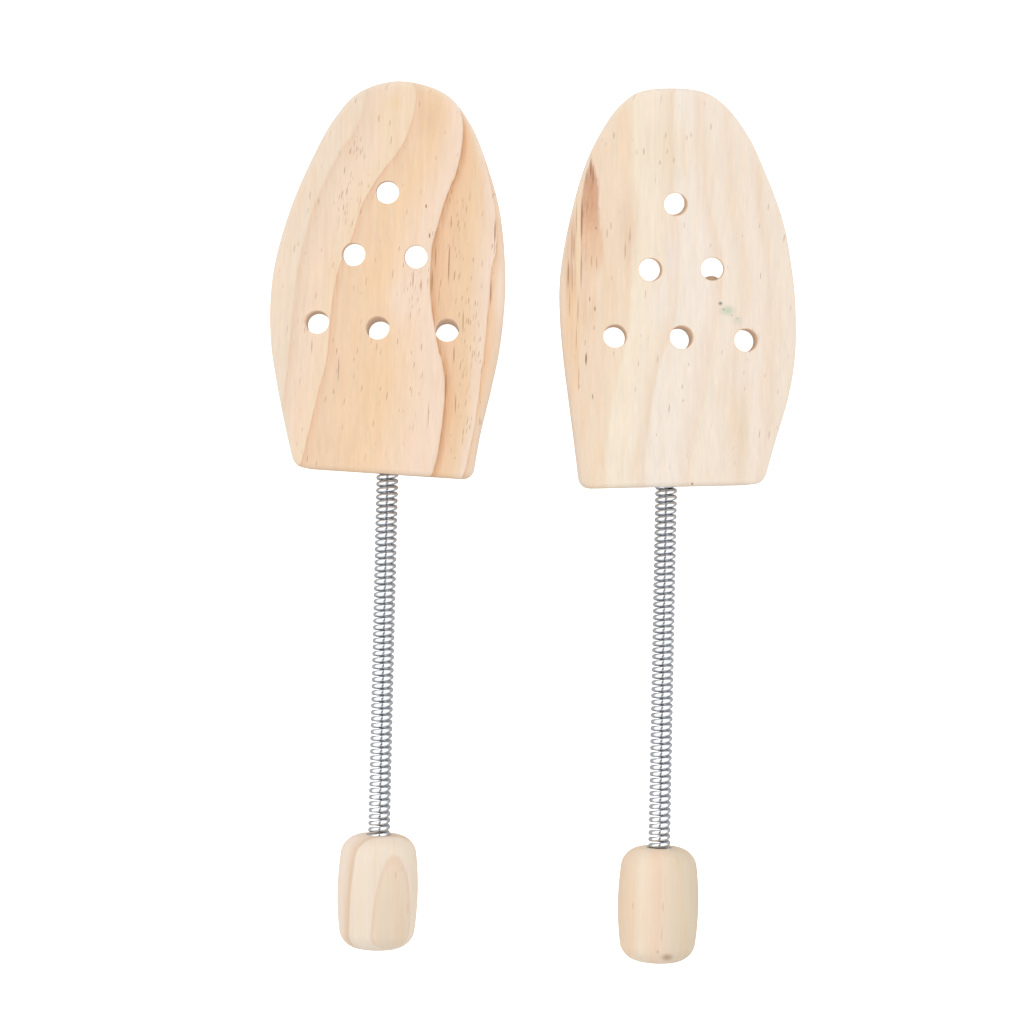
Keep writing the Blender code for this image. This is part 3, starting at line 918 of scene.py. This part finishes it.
def knob_barrel(distance):
    """The barrel's radius at a distance from the face at the spring, without its rounded ends."""
    half = KNOB_LENGTH / 2
    return KNOB_RADIUS - KNOB_BARREL_DROP * ((distance - half) / half) ** 2


def knob_profile():
    """The whole knob in one line: up the pilot hole and the socket, over the barrel, to the far end."""
    rounded = []
    for angle in quarter_turn(KNOB_END_STEPS):
        distance = KNOB_END_RADIUS * (1 - math.cos(angle))
        rounded.append((distance, knob_barrel(distance) - KNOB_END_RADIUS * (1 - math.sin(angle))))
    lip = []
    for turn in quarter_turn(RIM_STEPS):
        radius = SOCKET_RADIUS + SOCKET_LIP_RADIUS * (1 - math.cos(turn))
        lip.append((SOCKET_LIP_RADIUS * (1 - math.sin(turn)), radius))
    body = []
    for step in range(1, KNOB_BODY_STEPS):
        distance = KNOB_END_RADIUS + (KNOB_LENGTH - 2 * KNOB_END_RADIUS) * step / KNOB_BODY_STEPS
        body.append((distance, knob_barrel(distance)))
    far_end = [(KNOB_LENGTH - distance, radius) for distance, radius in reversed(rounded)]
    end_radius = far_end[-1][1]
    far_face = [(KNOB_LENGTH, end_radius * step / FACE_RINGS) for step in range(FACE_RINGS - 1, 0, -1)]
    bore = [
        (SOCKET_DEPTH + PILOT_DEPTH, PILOT_RADIUS),
        (SOCKET_DEPTH, PILOT_RADIUS),
        (SOCKET_DEPTH, SOCKET_RADIUS),
    ]
    return bore + lip + rounded + body + far_end + far_face


def add_knob(name, finish, bore_finish, matrix):
    """A turned heel knob, bored for the spring and the peg."""
    shape = bmesh.new()
    to_heel = Matrix.Translation((0, -SPRING_SHOWING, AXIS_HEIGHT)) @ Matrix.Rotation(math.pi, 4, "Z")
    add_turned(shape, knob_profile(), KNOB_SIDES, to_heel)
    mouth = -SPRING_SHOWING - CLEARANCE
    for face in shape.faces:
        middle = face.calc_center_median()
        from_axis = math.hypot(middle.x, middle.z - AXIS_HEIGHT)
        inside = from_axis < SOCKET_RADIUS + CLEARANCE and middle.y < mouth
        if inside and middle.y > -SPRING_SHOWING - SOCKET_DEPTH - PILOT_DEPTH - CLEARANCE:
            face.material_index = 1
    return add_mesh_object(name, shape, [finish, bore_finish], matrix)


# Springs

def wire_ring(place, coil_turn):
    """The wire's cross-section where the coil reaches a distance behind the block's rear face."""
    angle = -2 * math.pi * place / SPRING_PITCH + coil_turn
    outwards = Vector((math.sin(angle), 0, math.cos(angle)))
    along = Vector((math.cos(angle), SPRING_PITCH / (2 * math.pi * COIL_RADIUS), -math.sin(angle)))
    sideways = along.normalized().cross(outwards)
    centre = outwards * COIL_RADIUS + Vector((0, -place, AXIS_HEIGHT))
    ring = []
    for turn in full_turn(WIRE_SIDES):
        ring.append(centre + (outwards * math.cos(turn) + sideways * math.sin(turn)) * WIRE_DIAMETER / 2)
    return ring


def add_spring_part(name, start, end, coil_turn, finish, matrix):
    """A stretch of wound wire from one distance behind the block to another."""
    shape = bmesh.new()
    steps = round((end - start) / SPRING_PITCH * WIRE_STEPS_PER_TURN)
    rings = []
    for step in range(steps + 1):
        points = wire_ring(start + (end - start) * step / steps, coil_turn)
        rings.append([shape.verts.new(point) for point in points])
    add_tube(shape, rings)
    return add_mesh_object(name, shape, [finish], matrix)


# Shader nodes

class Nodes:
    """Writes nodes into one tree. A value is a number, a colour, or another node's output."""

    def __init__(self, tree):
        self.tree = tree

    def add(self, kind, inputs=None, **settings):
        """A node with its properties set, and its inputs set or linked by name or number."""
        node = self.tree.nodes.new(kind)
        for name, value in settings.items():
            setattr(node, name, value)
        for name, value in (inputs or {}).items():
            self.feed(node.inputs[name], value)
        return node

    def feed(self, socket, value):
        if isinstance(value, bpy.types.NodeSocket):
            self.tree.links.new(value, socket)
        else:
            socket.default_value = value

    def math(self, operation, *values, clamp=False):
        node = self.add("ShaderNodeMath", dict(enumerate(values)), operation=operation)
        node.use_clamp = clamp
        return node.outputs[0]

    def product(self, first, *others):
        for value in others:
            first = self.math("MULTIPLY", first, value)
        return first

    def swayed(self, value, noise, width):
        """A value moved up and down by a noise, over a whole width."""
        return self.math("MULTIPLY_ADD", self.math("SUBTRACT", noise, 0.5), width, value)

    def mix(self, share, first, second, blend="MIX"):
        inputs = {0: share, 6: first, 7: second}
        node = self.add("ShaderNodeMix", inputs, data_type="RGBA", blend_type=blend)
        return node.outputs[2]

    def span(self, value, low, high, new_low=0.0, new_high=1.0, smooth=True):
        """The value's place between low and high, from 0 to 1 or between two other ends."""
        kind = "SMOOTHSTEP" if smooth else "LINEAR"
        inputs = {"Value": value, "From Min": low, "From Max": high, "To Min": new_low, "To Max": new_high}
        return self.add("ShaderNodeMapRange", inputs, interpolation_type=kind).outputs["Result"]

    def divided(self, place, size):
        """A place counted in cells of a size."""
        return self.add("ShaderNodeVectorMath", {0: place, 1: size}, operation="DIVIDE").outputs["Vector"]

    def noise(self, place, scale, detail=2.0, roughness=0.5):
        inputs = {"Vector": place, "Scale": scale, "Detail": detail, "Roughness": roughness}
        return self.add("ShaderNodeTexNoise", inputs).outputs["Fac"]

    def grain(self, place, size, detail=2.0, roughness=0.5):
        """Noise drawn out to a size across the grain, along it and in depth."""
        return self.noise(self.divided(place, size), 1.0, detail, roughness)

    def ramp(self, value, stops):
        """Colours along a value from 0 to 1. The stops list (place, colour)."""
        node = self.add("ShaderNodeValToRGB", {0: value})
        points = node.color_ramp.elements
        points.remove(points[1])
        points[0].position, points[0].color = stops[0]
        for place, colour in stops[1:]:
            points.new(place).color = colour
        return node.outputs["Color"]

    def route(self, value, points):
        """A smooth line through points, (x, y) in millimetres: gives x for a value of y in metres."""
        share = self.span(value, -ROUTE_SPAN, ROUTE_SPAN, smooth=False)
        node = self.add("ShaderNodeFloatCurve", {"Value": share})
        curve = node.mapping.curves[0]
        while len(curve.points) < len(points):
            curve.points.new(0.5, 0.5)
        for knot, (x, y) in zip(curve.points, reversed(points)):
            knot.location = [(number * MM / ROUTE_SPAN + 1) / 2 for number in (y, x)]
        node.mapping.update()
        return self.span(node.outputs[0], 0.0, 1.0, -ROUTE_SPAN, ROUTE_SPAN, smooth=False)

    def blob(self, place, centre, radii, core=0.0):
        """A soft spot seen from above: 1 in its middle, up to the core's share of the radii, 0 outside."""
        scale = (1 / radii[0], 1 / radii[1], 0)
        shift = (-centre[0] / radii[0], -centre[1] / radii[1], 0)
        inputs = {0: place, 1: scale, 2: shift}
        from_centre = self.add("ShaderNodeVectorMath", inputs, operation="MULTIPLY_ADD").outputs["Vector"]
        length = self.add("ShaderNodeVectorMath", {0: from_centre}, operation="LENGTH").outputs["Value"]
        return self.span(length, core, 1.0, 1.0, 0.0)


def new_group(name, inputs, outputs):
    """A shader node group. Inputs and outputs list (name, kind of socket, default)."""
    tree = bpy.data.node_groups.new(name, "ShaderNodeTree")
    for word, kind, default in inputs:
        socket = tree.interface.new_socket(word, in_out="INPUT", socket_type=kind)
        if default is not None:
            socket.default_value = default
    for word, kind in outputs:
        tree.interface.new_socket(word, in_out="OUTPUT", socket_type=kind)
    nodes = Nodes(tree)
    given = nodes.add("NodeGroupInput").outputs
    result = nodes.add("NodeGroupOutput").inputs
    return nodes, given, result


def new_finish(name):
    """A material with its shader, and a writer for its nodes."""
    finish = bpy.data.materials.new(name)
    finish.use_nodes = True
    shader = finish.node_tree.nodes["Principled BSDF"]
    return finish, shader, Nodes(finish.node_tree)


def own_place(nodes):
    """The point's place in its piece's own frame, whole and split into x, y and z."""
    place = nodes.add("ShaderNodeTexCoord").outputs["Object"]
    parts = nodes.add("ShaderNodeSeparateXYZ", {0: place}).outputs
    return place, parts[0], parts[1], parts[2]


# Wood

def fleck_mask(nodes, place, cell, size, share):
    """Short dark marks along the grain: one in some of the flat cells that the place is divided into,
    each with its own size and depth of colour."""
    inputs = {"Vector": nodes.divided(place, (*cell, 1.0)), "Scale": 1.0}
    spots = nodes.add("ShaderNodeTexVoronoi", inputs, voronoi_dimensions="2D").outputs
    chance = nodes.add("ShaderNodeSeparateColor", {0: spots["Color"]}).outputs
    present = nodes.math("LESS_THAN", chance[0], share)
    reach = nodes.math("MULTIPLY_ADD", chance[1], size * FLECK_REACH[0], size * FLECK_REACH[1])
    inside = nodes.span(nodes.math("DIVIDE", spots["Distance"], reach), FLECK_CORE, 1.0, 1.0, 0.0)
    depth = nodes.math("MULTIPLY_ADD", chance[2], *FLECK_DEPTH)
    return nodes.product(inside, present, depth)


def build_bare_pine():
    """The group that lays fibres, flecks and pale edges, partly wear and partly painted highlight, over a
    piece's own figure.
    """
    nodes, given, result = new_group(
        "bare_pine",
        [
            ("Place", "NodeSocketVector", None),
            ("Figure", "NodeSocketColor", linear(*PLAIN_PINE)),
            ("Fibre Contrast", "NodeSocketFloat", 0.10),
            ("Fleck Amount", "NodeSocketFloat", 0.6),
            ("Fleck Depth", "NodeSocketFloat", 0.6),
            ("Edge Wear And Highlight", "NodeSocketFloat", 0.0),
            ("Roughness", "NodeSocketFloat", 0.55),
        ],
        [("Color", "NodeSocketColor"), ("Roughness", "NodeSocketFloat"), ("Height", "NodeSocketFloat")],
    )
    place = given["Place"]
    fine = nodes.grain(place, FINE_FIBRE, 3.0, 0.6)
    broad = nodes.grain(place, BROAD_FIBRE)
    cloud = nodes.grain(place, CLOUD_SIZE)
    streaks = nodes.math("ADD", nodes.math("SUBTRACT", fine, 0.5), nodes.math("SUBTRACT", broad, 0.5))
    shade = nodes.math("MULTIPLY_ADD", streaks, given["Fibre Contrast"], 1.0)
    shade = nodes.swayed(shade, cloud, CLOUD_CONTRAST)
    grey = nodes.add("ShaderNodeCombineColor", {0: shade, 1: shade, 2: shade}).outputs[0]
    colour = nodes.mix(1.0, given["Figure"], grey, "MULTIPLY")

    warm = nodes.product(nodes.span(nodes.grain(place, WARM_SIZE), *WARM_RANGE), WARM_SHARE)
    colour = nodes.mix(warm, colour, linear(*WARM_TINT), "MULTIPLY")

    crowd = nodes.grain(place, FLECK_CLOUD, 1.0)
    share = nodes.product(nodes.span(crowd, *CROWD_RANGE), given["Fleck Amount"])
    parts = nodes.add("ShaderNodeSeparateXYZ", {0: place}).outputs
    across = nodes.math("MULTIPLY_ADD", parts[2], FLECK_SLANT, parts[0])
    flat = nodes.add("ShaderNodeCombineXYZ", {0: across, 1: parts[1]}).outputs[0]
    flecks = 0.0
    for cell, size, used in FLECK_LAYERS:
        layer = fleck_mask(nodes, flat, cell, size, nodes.product(share, used))
        flecks = nodes.math("MAXIMUM", flecks, layer)
    colour = nodes.mix(nodes.product(flecks, given["Fleck Depth"]), colour, linear(*FLECK_COLOUR))

    # Pale edges: partly sanding wear, partly a painted highlight on the rims
    wear_and_highlight = nodes.product(nodes.math("POWER", given["Edge Wear And Highlight"], EDGE_WEAR_AND_HIGHLIGHT_POWER), EDGE_WEAR_AND_HIGHLIGHT_SHARE)
    colour = nodes.mix(wear_and_highlight, colour, linear(*EDGE_WEAR_AND_HIGHLIGHT_COLOUR))

    rough = nodes.swayed(given["Roughness"], fine, ROUGHNESS_SWING)
    height = nodes.math("MULTIPLY_ADD", broad, BROAD_RELIEF, nodes.product(fine, FINE_RELIEF))
    height = nodes.math("SUBTRACT", height, nodes.product(flecks, FLECK_RELIEF))
    nodes.feed(result["Color"], colour)
    nodes.feed(result["Roughness"], rough)
    nodes.feed(result["Height"], height)
    return nodes.tree


def dress_in_pine(nodes, shader, pine, place, figure, **amounts):
    """Lays the pine group over a figure and feeds the shader. Amounts name the group's inputs."""
    layer = nodes.add("ShaderNodeGroup", node_tree=pine)
    nodes.feed(layer.inputs["Place"], place)
    nodes.feed(layer.inputs["Figure"], figure)
    for name, value in amounts.items():
        nodes.feed(layer.inputs[name.replace("_", " ").title()], value)
    nodes.feed(shader.inputs["Base Color"], layer.outputs["Color"])
    nodes.feed(shader.inputs["Roughness"], layer.outputs["Roughness"])
    bump = nodes.add("ShaderNodeBump", {"Strength": BUMP_STRENGTH, "Distance": BUMP_DEPTH})
    nodes.feed(bump.inputs["Height"], layer.outputs["Height"])
    nodes.feed(shader.inputs["Normal"], bump.outputs["Normal"])


def dress_block(nodes, shader, pine, place, colour, flecks):
    """Bare pine with the pale edges, partly wear and partly painted highlight, that are stored on a toe
    block.
    """
    wear_and_highlight = nodes.add("ShaderNodeAttribute", attribute_name="edge_wear_and_highlight").outputs["Fac"]
    amounts = {"edge_wear_and_highlight": wear_and_highlight, "fleck_amount": flecks, "fibre_contrast": 0.15}
    dress_in_pine(nodes, shader, pine, place, colour, **amounts)


def below_top(nodes, x, y, z):
    """How deep a point of a toe block lies under its sloping, crowned top."""
    towards_rear = nodes.math("SUBTRACT", 1.0, nodes.math("DIVIDE", y, BLOCK_LENGTH), clamp=True)
    slope = nodes.math("POWER", towards_rear, WEDGE_POWER)
    top = nodes.math("MULTIPLY_ADD", slope, REAR_THICKNESS - TOE_THICKNESS, TOE_THICKNESS)
    aside = nodes.math("DIVIDE", x, MEAN_HALF_WIDTH)
    top = nodes.math("MULTIPLY_ADD", nodes.product(aside, aside), -TOP_CROWN, top)
    return nodes.math("SUBTRACT", top, z)


def growth_zone(nodes, x, routes):
    """Which stretch between growth lines a point lies in, counted from the left, with its share."""
    ends = [-ZONES_END, *routes, ZONES_END]
    zone = 0.0
    for left, right in zip(ends, ends[1:]):
        reach = nodes.math("MAXIMUM", nodes.math("SUBTRACT", right, left), MM)
        share = nodes.math("DIVIDE", nodes.math("SUBTRACT", x, left), reach, clamp=True)
        zone = nodes.math("ADD", zone, share)
    return nodes.math("DIVIDE", zone, len(routes) + 1)


def late_wood(nodes, x, routes, bands, fibre, colour):
    """Brown bands that start sharply at the growth lines and fade to their right."""
    for line, width, strength, tint in bands:
        past = nodes.math("SUBTRACT", x, routes[line])
        sharp = nodes.span(past, -LINE_EDGE, LINE_EDGE)
        fading = nodes.span(past, 0.0, width * MM, strength, 0.0)
        colour = nodes.mix(nodes.product(sharp, fading, fibre), colour, linear(*tint))
    return colour


def stained(nodes, place, colour, stains):
    """Lays soft round stains over a colour."""
    for centre, radii, strength, tint in stains:
        spot = nodes.product(nodes.blob(place, centre, radii), strength)
        colour = nodes.mix(spot, colour, linear(*tint))
    return colour


def threaded(nodes, place, colour, threads, tint):
    """Lays thin dark marks along the grain over a colour."""
    dark = 0.0
    for x, start, end, reach, strength in threads:
        centre = (x * MM, (start + end) / 2 * MM)
        radii = (reach * MM, (start - end) / 2 * MM)
        mark = nodes.product(nodes.blob(place, centre, radii, THREAD_CORE), strength)
        dark = nodes.math("MAXIMUM", dark, mark)
    return nodes.mix(dark, colour, linear(*tint))


# How the wood of a toe block has grown: its growth lines, the colours across the zones between them,
# how far the zones shift sideways with depth, the late wood past the lines, and stains
Figure = namedtuple("Figure", "lines zone_colours slant late_wood stains")


def block_figure(nodes, place, x, y, z, figure):
    """The growth zones, late wood and stains of a toe block."""
    across = nodes.swayed(x, nodes.grain(place, TREMBLE_SIZE, 3.0, 0.6), TREMBLE_WIDTH)
    across = nodes.math("MULTIPLY_ADD", below_top(nodes, x, y, z), figure.slant, across)
    routes = [nodes.route(y, line) for line in figure.lines]
    zones = len(routes) + 1
    stops = [(zone / zones, linear(*colour)) for zone, colour in figure.zone_colours]
    colour = nodes.ramp(growth_zone(nodes, across, routes), stops)
    fibre = nodes.span(nodes.grain(place, LATE_WOOD_FIBRE, 3.0, 0.6), *LATE_WOOD_RANGE)
    fibre = nodes.product(fibre, nodes.span(y, *LATE_WOOD_WEAKENS))
    colour = late_wood(nodes, across, routes, figure.late_wood, fibre, colour)
    return stained(nodes, place, colour, figure.stains)


def left_block_finish(pine):
    """Warm flat-sawn pine: broad zones that end in sharp brown growth lines."""
    finish, shader, nodes = new_finish("left_block_pine")
    place, x, y, z = own_place(nodes)
    figure = Figure(LEFT_GROWTH_LINES, LEFT_ZONE_COLOURS, LEFT_RING_SLANT, LEFT_LATE_WOOD, LEFT_STAINS)
    colour = block_figure(nodes, place, x, y, z, figure)
    colour = threaded(nodes, place, colour, LEFT_THREADS, LEFT_THREAD_COLOUR)
    flecks = LEFT_FLECKS_ELSEWHERE
    for centre, radii in LEFT_FLECK_CROWDS:
        flecks = nodes.math("MAXIMUM", flecks, nodes.blob(place, centre, radii, CROWD_CORE))
    dress_block(nodes, shader, pine, place, colour, flecks)
    return finish


def right_block_finish(pine):
    """Pale straight-grained pine with a dark resin streak along its inner edge."""
    finish, shader, nodes = new_finish("right_block_pine")
    place, x, y, z = own_place(nodes)
    figure = Figure(RIGHT_GROWTH_LINES, RIGHT_ZONE_COLOURS, RIGHT_RING_SLANT, RIGHT_LATE_WOOD, RIGHT_STAINS)
    colour = block_figure(nodes, place, x, y, z, figure)
    colour = resin_streak(nodes, place, x, y, colour)
    dress_block(nodes, shader, pine, place, colour, RIGHT_FLECK_AMOUNT)
    return finish


def resin_streak(nodes, place, x, y, colour):
    """A brown mottled streak with nearly black threads, and pale and brown strands left of it."""
    strands = nodes.span(nodes.grain(place, STRAND_FIBRE), *STRAND_RANGE)
    for centre, radii, strength, tint in STRAND_PATCHES:
        patch = nodes.product(nodes.blob(place, centre, radii, STRAND_CORE), strength, strands)
        colour = nodes.mix(patch, colour, linear(*tint))

    mottle = nodes.grain(place, STREAK_MOTTLE, 4.0, 0.65)
    frayed = nodes.swayed(x, mottle, STREAK_FRAY)
    past_left = nodes.math("SUBTRACT", x, nodes.route(y, STREAK_LEFT_EDGE))
    short_of_right = nodes.math("SUBTRACT", nodes.route(y, STREAK_RIGHT_EDGE), frayed)
    body = nodes.product(
        nodes.span(past_left, 0.0, STREAK_LEFT_FADE),
        nodes.span(short_of_right, 0.0, STREAK_FADE),
        nodes.span(y, *STREAK_REAR_END),
        STREAK_STRENGTH,
    )
    low, high = STREAK_COLOURS[0][0], STREAK_COLOURS[-1][0]
    stops = [((level - low) / (high - low), linear(*tint)) for level, tint in STREAK_COLOURS]
    resin = nodes.ramp(nodes.span(y, low * MM, high * MM, smooth=False), stops)
    dark = nodes.product(
        nodes.span(mottle, *STREAK_DARK_RANGE),
        nodes.span(past_left, *STREAK_LIGHTENS),
        nodes.span(y, *STREAK_DARKENS),
    )
    resin = nodes.mix(dark, resin, linear(*STREAK_DARK))
    colour = nodes.mix(body, colour, resin)
    return threaded(nodes, place, colour, RIGHT_THREADS, RIGHT_THREAD_COLOUR)


def knob_figure(nodes, x, y, z, direction, stops):
    """Growth layers cut by the barrel: colours by how far a point lies along the layers' direction."""
    along = nodes.math("ADD", y, SPRING_SHOWING + KNOB_LENGTH / 2)
    reach = nodes.product(x, direction[0])
    reach = nodes.math("MULTIPLY_ADD", along, direction[1], reach)
    reach = nodes.math("MULTIPLY_ADD", nodes.product(along, along), KNOB_LAYER_BOW, reach)
    reach = nodes.math("MULTIPLY_ADD", nodes.math("SUBTRACT", z, AXIS_HEIGHT), direction[2], reach)
    share = nodes.span(reach, -KNOB_RADIUS, KNOB_RADIUS, smooth=False)
    places = [((place * MM / KNOB_RADIUS + 1) / 2, linear(*tint)) for place, tint in stops]
    return nodes.ramp(share, places)


def knob_finish(name, pine, direction, stops, stains):
    """Turned pine: its growth layers show as ovals and bands."""
    finish, shader, nodes = new_finish(name)
    place, x, y, z = own_place(nodes)
    colour = knob_figure(nodes, x, y, z, direction, stops)
    colour = stained(nodes, place, colour, stains)
    amounts = {"fleck_amount": 0.02, "fleck_depth": 0.35, "fibre_contrast": 0.09}
    dress_in_pine(nodes, shader, pine, place, colour, **amounts)
    return finish


def drilled_finish(name, pine, tint):
    """Bare wood inside a drilled or torn hole: rougher than the sanded faces, with a faint painted glow
    that lifts the shade on its walls."""
    finish, shader, nodes = new_finish(name)
    place = own_place(nodes)[0]
    dress_in_pine(nodes, shader, pine, place, linear(*tint), fibre_contrast=0.3, roughness=0.8)
    # A painted glow that lifts the shade on the hole's walls
    shader.inputs["Emission Color"].default_value = linear(*PAINTED_HOLE_GLOW)
    shader.inputs["Emission Strength"].default_value = 1.0
    return finish


def peg_finish(pine):
    """Beech dowel with short dark pores."""
    finish, shader, nodes = new_finish("peg_beech")
    place = own_place(nodes)[0]
    dress_in_pine(nodes, shader, pine, place, linear(*BEECH), fleck_amount=1.0, fibre_contrast=0.16)
    return finish


# Steel

def spring_finish():
    """Bright zinc-plated wire with a faint mottle and fine drawing marks."""
    finish, shader, nodes = new_finish("spring_steel")
    place = own_place(nodes)[0]
    mottle = nodes.noise(place, WIRE_MOTTLE, 3.0, 0.6)
    greys = [linear(*grey) for grey in WIRE_GREYS]
    nodes.feed(shader.inputs["Base Color"], nodes.mix(nodes.span(mottle, *WIRE_GREY_RANGE), *greys))
    nodes.feed(shader.inputs["Metallic"], 1.0)
    nodes.feed(shader.inputs["Roughness"], nodes.span(mottle, *WIRE_ROUGHNESS_RANGE, smooth=False))
    marks = nodes.noise(place, WIRE_MARKS)
    inputs = {"Strength": WIRE_MARK_STRENGTH, "Distance": WIRE_MARK_DEPTH, "Height": marks}
    bump = nodes.add("ShaderNodeBump", inputs)
    nodes.feed(shader.inputs["Normal"], bump.outputs["Normal"])
    return finish


# The two trees

Tree = namedtuple("Tree", "side mirror matrix outline vents coil_turn")


def blend_along(piece):
    """Bakes a stretch of spring's placing into its mesh."""
    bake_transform(piece)


def build_block(tree, finish, drilled, torn):
    """The toe block with its vent holes and the socket for the spring."""
    shape = block_shape(tree.outline, tree.mirror)
    block = add_mesh_object(f"{tree.side}_block", shape, [finish], tree.matrix)
    cutters = [
        vent_cutter("vent_drills", tree.vents, tree.mirror, drilled, tree.matrix),
        socket_cutter("socket_drill", drilled, tree.matrix),
    ]
    if tree.side == "left":
        torn_centre = from_shares(*tree.vents[TORN_VENT][0])
        cutters.append(torn_rim_cutter("torn_rim", torn_centre, torn, tree.matrix))
    cut_out(block, cutters)
    mark_edge_wear_and_highlight(block, tree.outline, tree.mirror)
    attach(block, f"{tree.side}_toe")
    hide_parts(f"{tree.side}_toe_block")


def build_knob(tree, finish, drilled):
    """The turned heel knob."""
    knob = add_knob(f"{tree.side}_knob", finish, drilled, tree.matrix)
    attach(knob, f"{tree.side}_heel")
    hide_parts(f"{tree.side}_heel_knob")


def build_spring(tree, finish):
    """The spring in two stretches, one at the block and one at the knob, with their placing baked into
    their meshes.
    """
    hidden = SOCKET_DEPTH - CLEARANCE
    shared = (tree.coil_turn, finish, tree.matrix)
    front = add_spring_part(f"{tree.side}_spring_front", -hidden, SPLIT_PLACE, *shared)
    rear = add_spring_part(f"{tree.side}_spring_rear", SPLIT_PLACE, SPRING_SHOWING + hidden, *shared)
    blend_along(front)
    blend_along(rear)
    for part in (front, rear):
        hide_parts(f"{tree.side}_spring")


# The studio

def floor_finish():
    """A pale floor that stays white to the camera and takes only the faint shadow at the object's foot.
    In the wire's mirror image it is darker, as the gaps between the turns are in the photo."""
    finish, shader, nodes = new_finish("studio_floor")
    rays = nodes.add("ShaderNodeLightPath").outputs
    colour = nodes.mix(rays["Is Glossy Ray"], linear(*FLOOR_COLOUR), linear(*FLOOR_IN_WIRE))
    nodes.feed(shader.inputs["Base Color"], colour)
    shader.inputs["Roughness"].default_value = FLOOR_ROUGHNESS
    shader.inputs["Emission Color"].default_value = WHITE
    nodes.feed(shader.inputs["Emission Strength"], nodes.product(rays["Is Camera Ray"], FLOOR_SHINE))
    return finish


def add_flat_stage(name, place, size, finish):
    """A flat sheet of the studio, which is not part of the object."""
    half_x, half_y = size[0] / 2, size[1] / 2
    corners = [(-half_x, -half_y, 0), (half_x, -half_y, 0), (half_x, half_y, 0), (-half_x, half_y, 0)]
    mesh = bpy.data.meshes.new(name)
    mesh.from_pydata(corners, [], [(0, 1, 2, 3)])
    mesh.materials.append(finish)
    sheet = bpy.data.objects.new(name, mesh)
    sheet.location = place
    bpy.context.scene.collection.objects.link(sheet)
    return sheet


def add_soft_box(name, place, size, watts):
    """A large soft lamp that faces the middle of the table."""
    lamp = bpy.data.lights.new(name, "AREA")
    lamp.shape = "RECTANGLE"
    lamp.size, lamp.size_y = size
    lamp.energy = watts
    thing = bpy.data.objects.new(name, lamp)
    thing.location = place
    thing.rotation_euler = Vector(place).to_track_quat("Z", "Y").to_euler()
    bpy.context.scene.collection.objects.link(thing)


def build_sky():
    """White where it is seen or mirrored, and a plain soft light for the wood."""
    world = bpy.data.worlds.new("studio_sky")
    world.use_nodes = True
    world.node_tree.nodes.clear()
    nodes = Nodes(world.node_tree)
    rays = nodes.add("ShaderNodeLightPath").outputs
    bare = nodes.math("MAXIMUM", rays["Is Camera Ray"], rays["Is Transmission Ray"])
    strength = nodes.span(bare, 0.0, 1.0, SKY_LIGHT, 1.0, smooth=False)
    strength = nodes.span(rays["Is Glossy Ray"], 0.0, 1.0, strength, SKY_IN_WIRE, smooth=False)
    sky = nodes.add("ShaderNodeBackground", {"Color": WHITE, "Strength": strength})
    nodes.add("ShaderNodeOutputWorld", {"Surface": sky.outputs[0]})
    bpy.context.scene.world = world


def build_studio():
    """Floor, sky, lamps and the dark card whose mirror image gives the wire its dark middle line."""
    add_flat_stage("studio_floor", (0, 0, -FLOOR_DROP), (FLOOR_SIZE, FLOOR_SIZE), floor_finish())
    card_finish, card_shader, _ = new_finish("dark_card")
    card_shader.inputs["Base Color"].default_value = linear(*CARD_COLOUR)
    card = add_flat_stage("dark_card", CARD_PLACE, CARD_SIZE, card_finish)
    card.visible_camera = False
    card.visible_diffuse = False
    card.visible_shadow = False
    card.visible_transmission = False
    build_sky()
    for box in SOFT_BOXES:
        add_soft_box(*box)


def add_camera():
    """The camera that looks straight down at the pair."""
    view = bpy.data.cameras.new("camera_above")
    view.lens = CAMERA_LENS
    camera = bpy.data.objects.new("camera_above", view)
    camera.location = CAMERA_PLACE
    bpy.context.scene.collection.objects.link(camera)
    bpy.context.scene.camera = camera


def dress_pegs(finish):
    """The CAD pegs keep their shape and take the dowel's finish."""
    for side in ("left", "right"):
        for end in ("toe", "heel"):
            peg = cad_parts[f"{side}_{end}_peg"]
            for slot in peg.material_slots:
                slot.material = finish


def main():
    left_place = tree_matrix(LEFT_ENTRY, LEFT_LEAN)
    right_place = tree_matrix(RIGHT_ENTRY, RIGHT_LEAN)
    trees = (
        Tree("left", -1, left_place, LEFT_OUTLINE_SHARES, LEFT_VENTS, LEFT_COIL_TURN),
        Tree("right", 1, right_place, RIGHT_OUTLINE_SHARES, RIGHT_VENTS, RIGHT_COIL_TURN),
    )
    pine = build_bare_pine()
    drilled = drilled_finish("drilled_pine", pine, DRILLED_PINE)
    torn = drilled_finish("torn_pine", pine, TORN_PINE)
    steel = spring_finish()
    block_finishes = {"left": left_block_finish(pine), "right": right_block_finish(pine)}
    left_knob = (LEFT_KNOB_LAYERS, LEFT_KNOB_COLOURS_WITH_PAINTED_LIGHT, LEFT_KNOB_STAINS)
    right_knob = (RIGHT_KNOB_LAYERS, RIGHT_KNOB_COLOURS, RIGHT_KNOB_STAINS)
    knob_finishes = {
        "left": knob_finish("left_knob_pine", pine, *left_knob),
        "right": knob_finish("right_knob_pine", pine, *right_knob),
    }
    for tree in trees:
        build_block(tree, block_finishes[tree.side], drilled, torn)
        build_knob(tree, knob_finishes[tree.side], drilled)
        build_spring(tree, steel)
    dress_pegs(peg_finish(pine))
    build_studio()
    add_camera()
    bpy.context.scene.view_settings.view_transform = "Standard"


main()
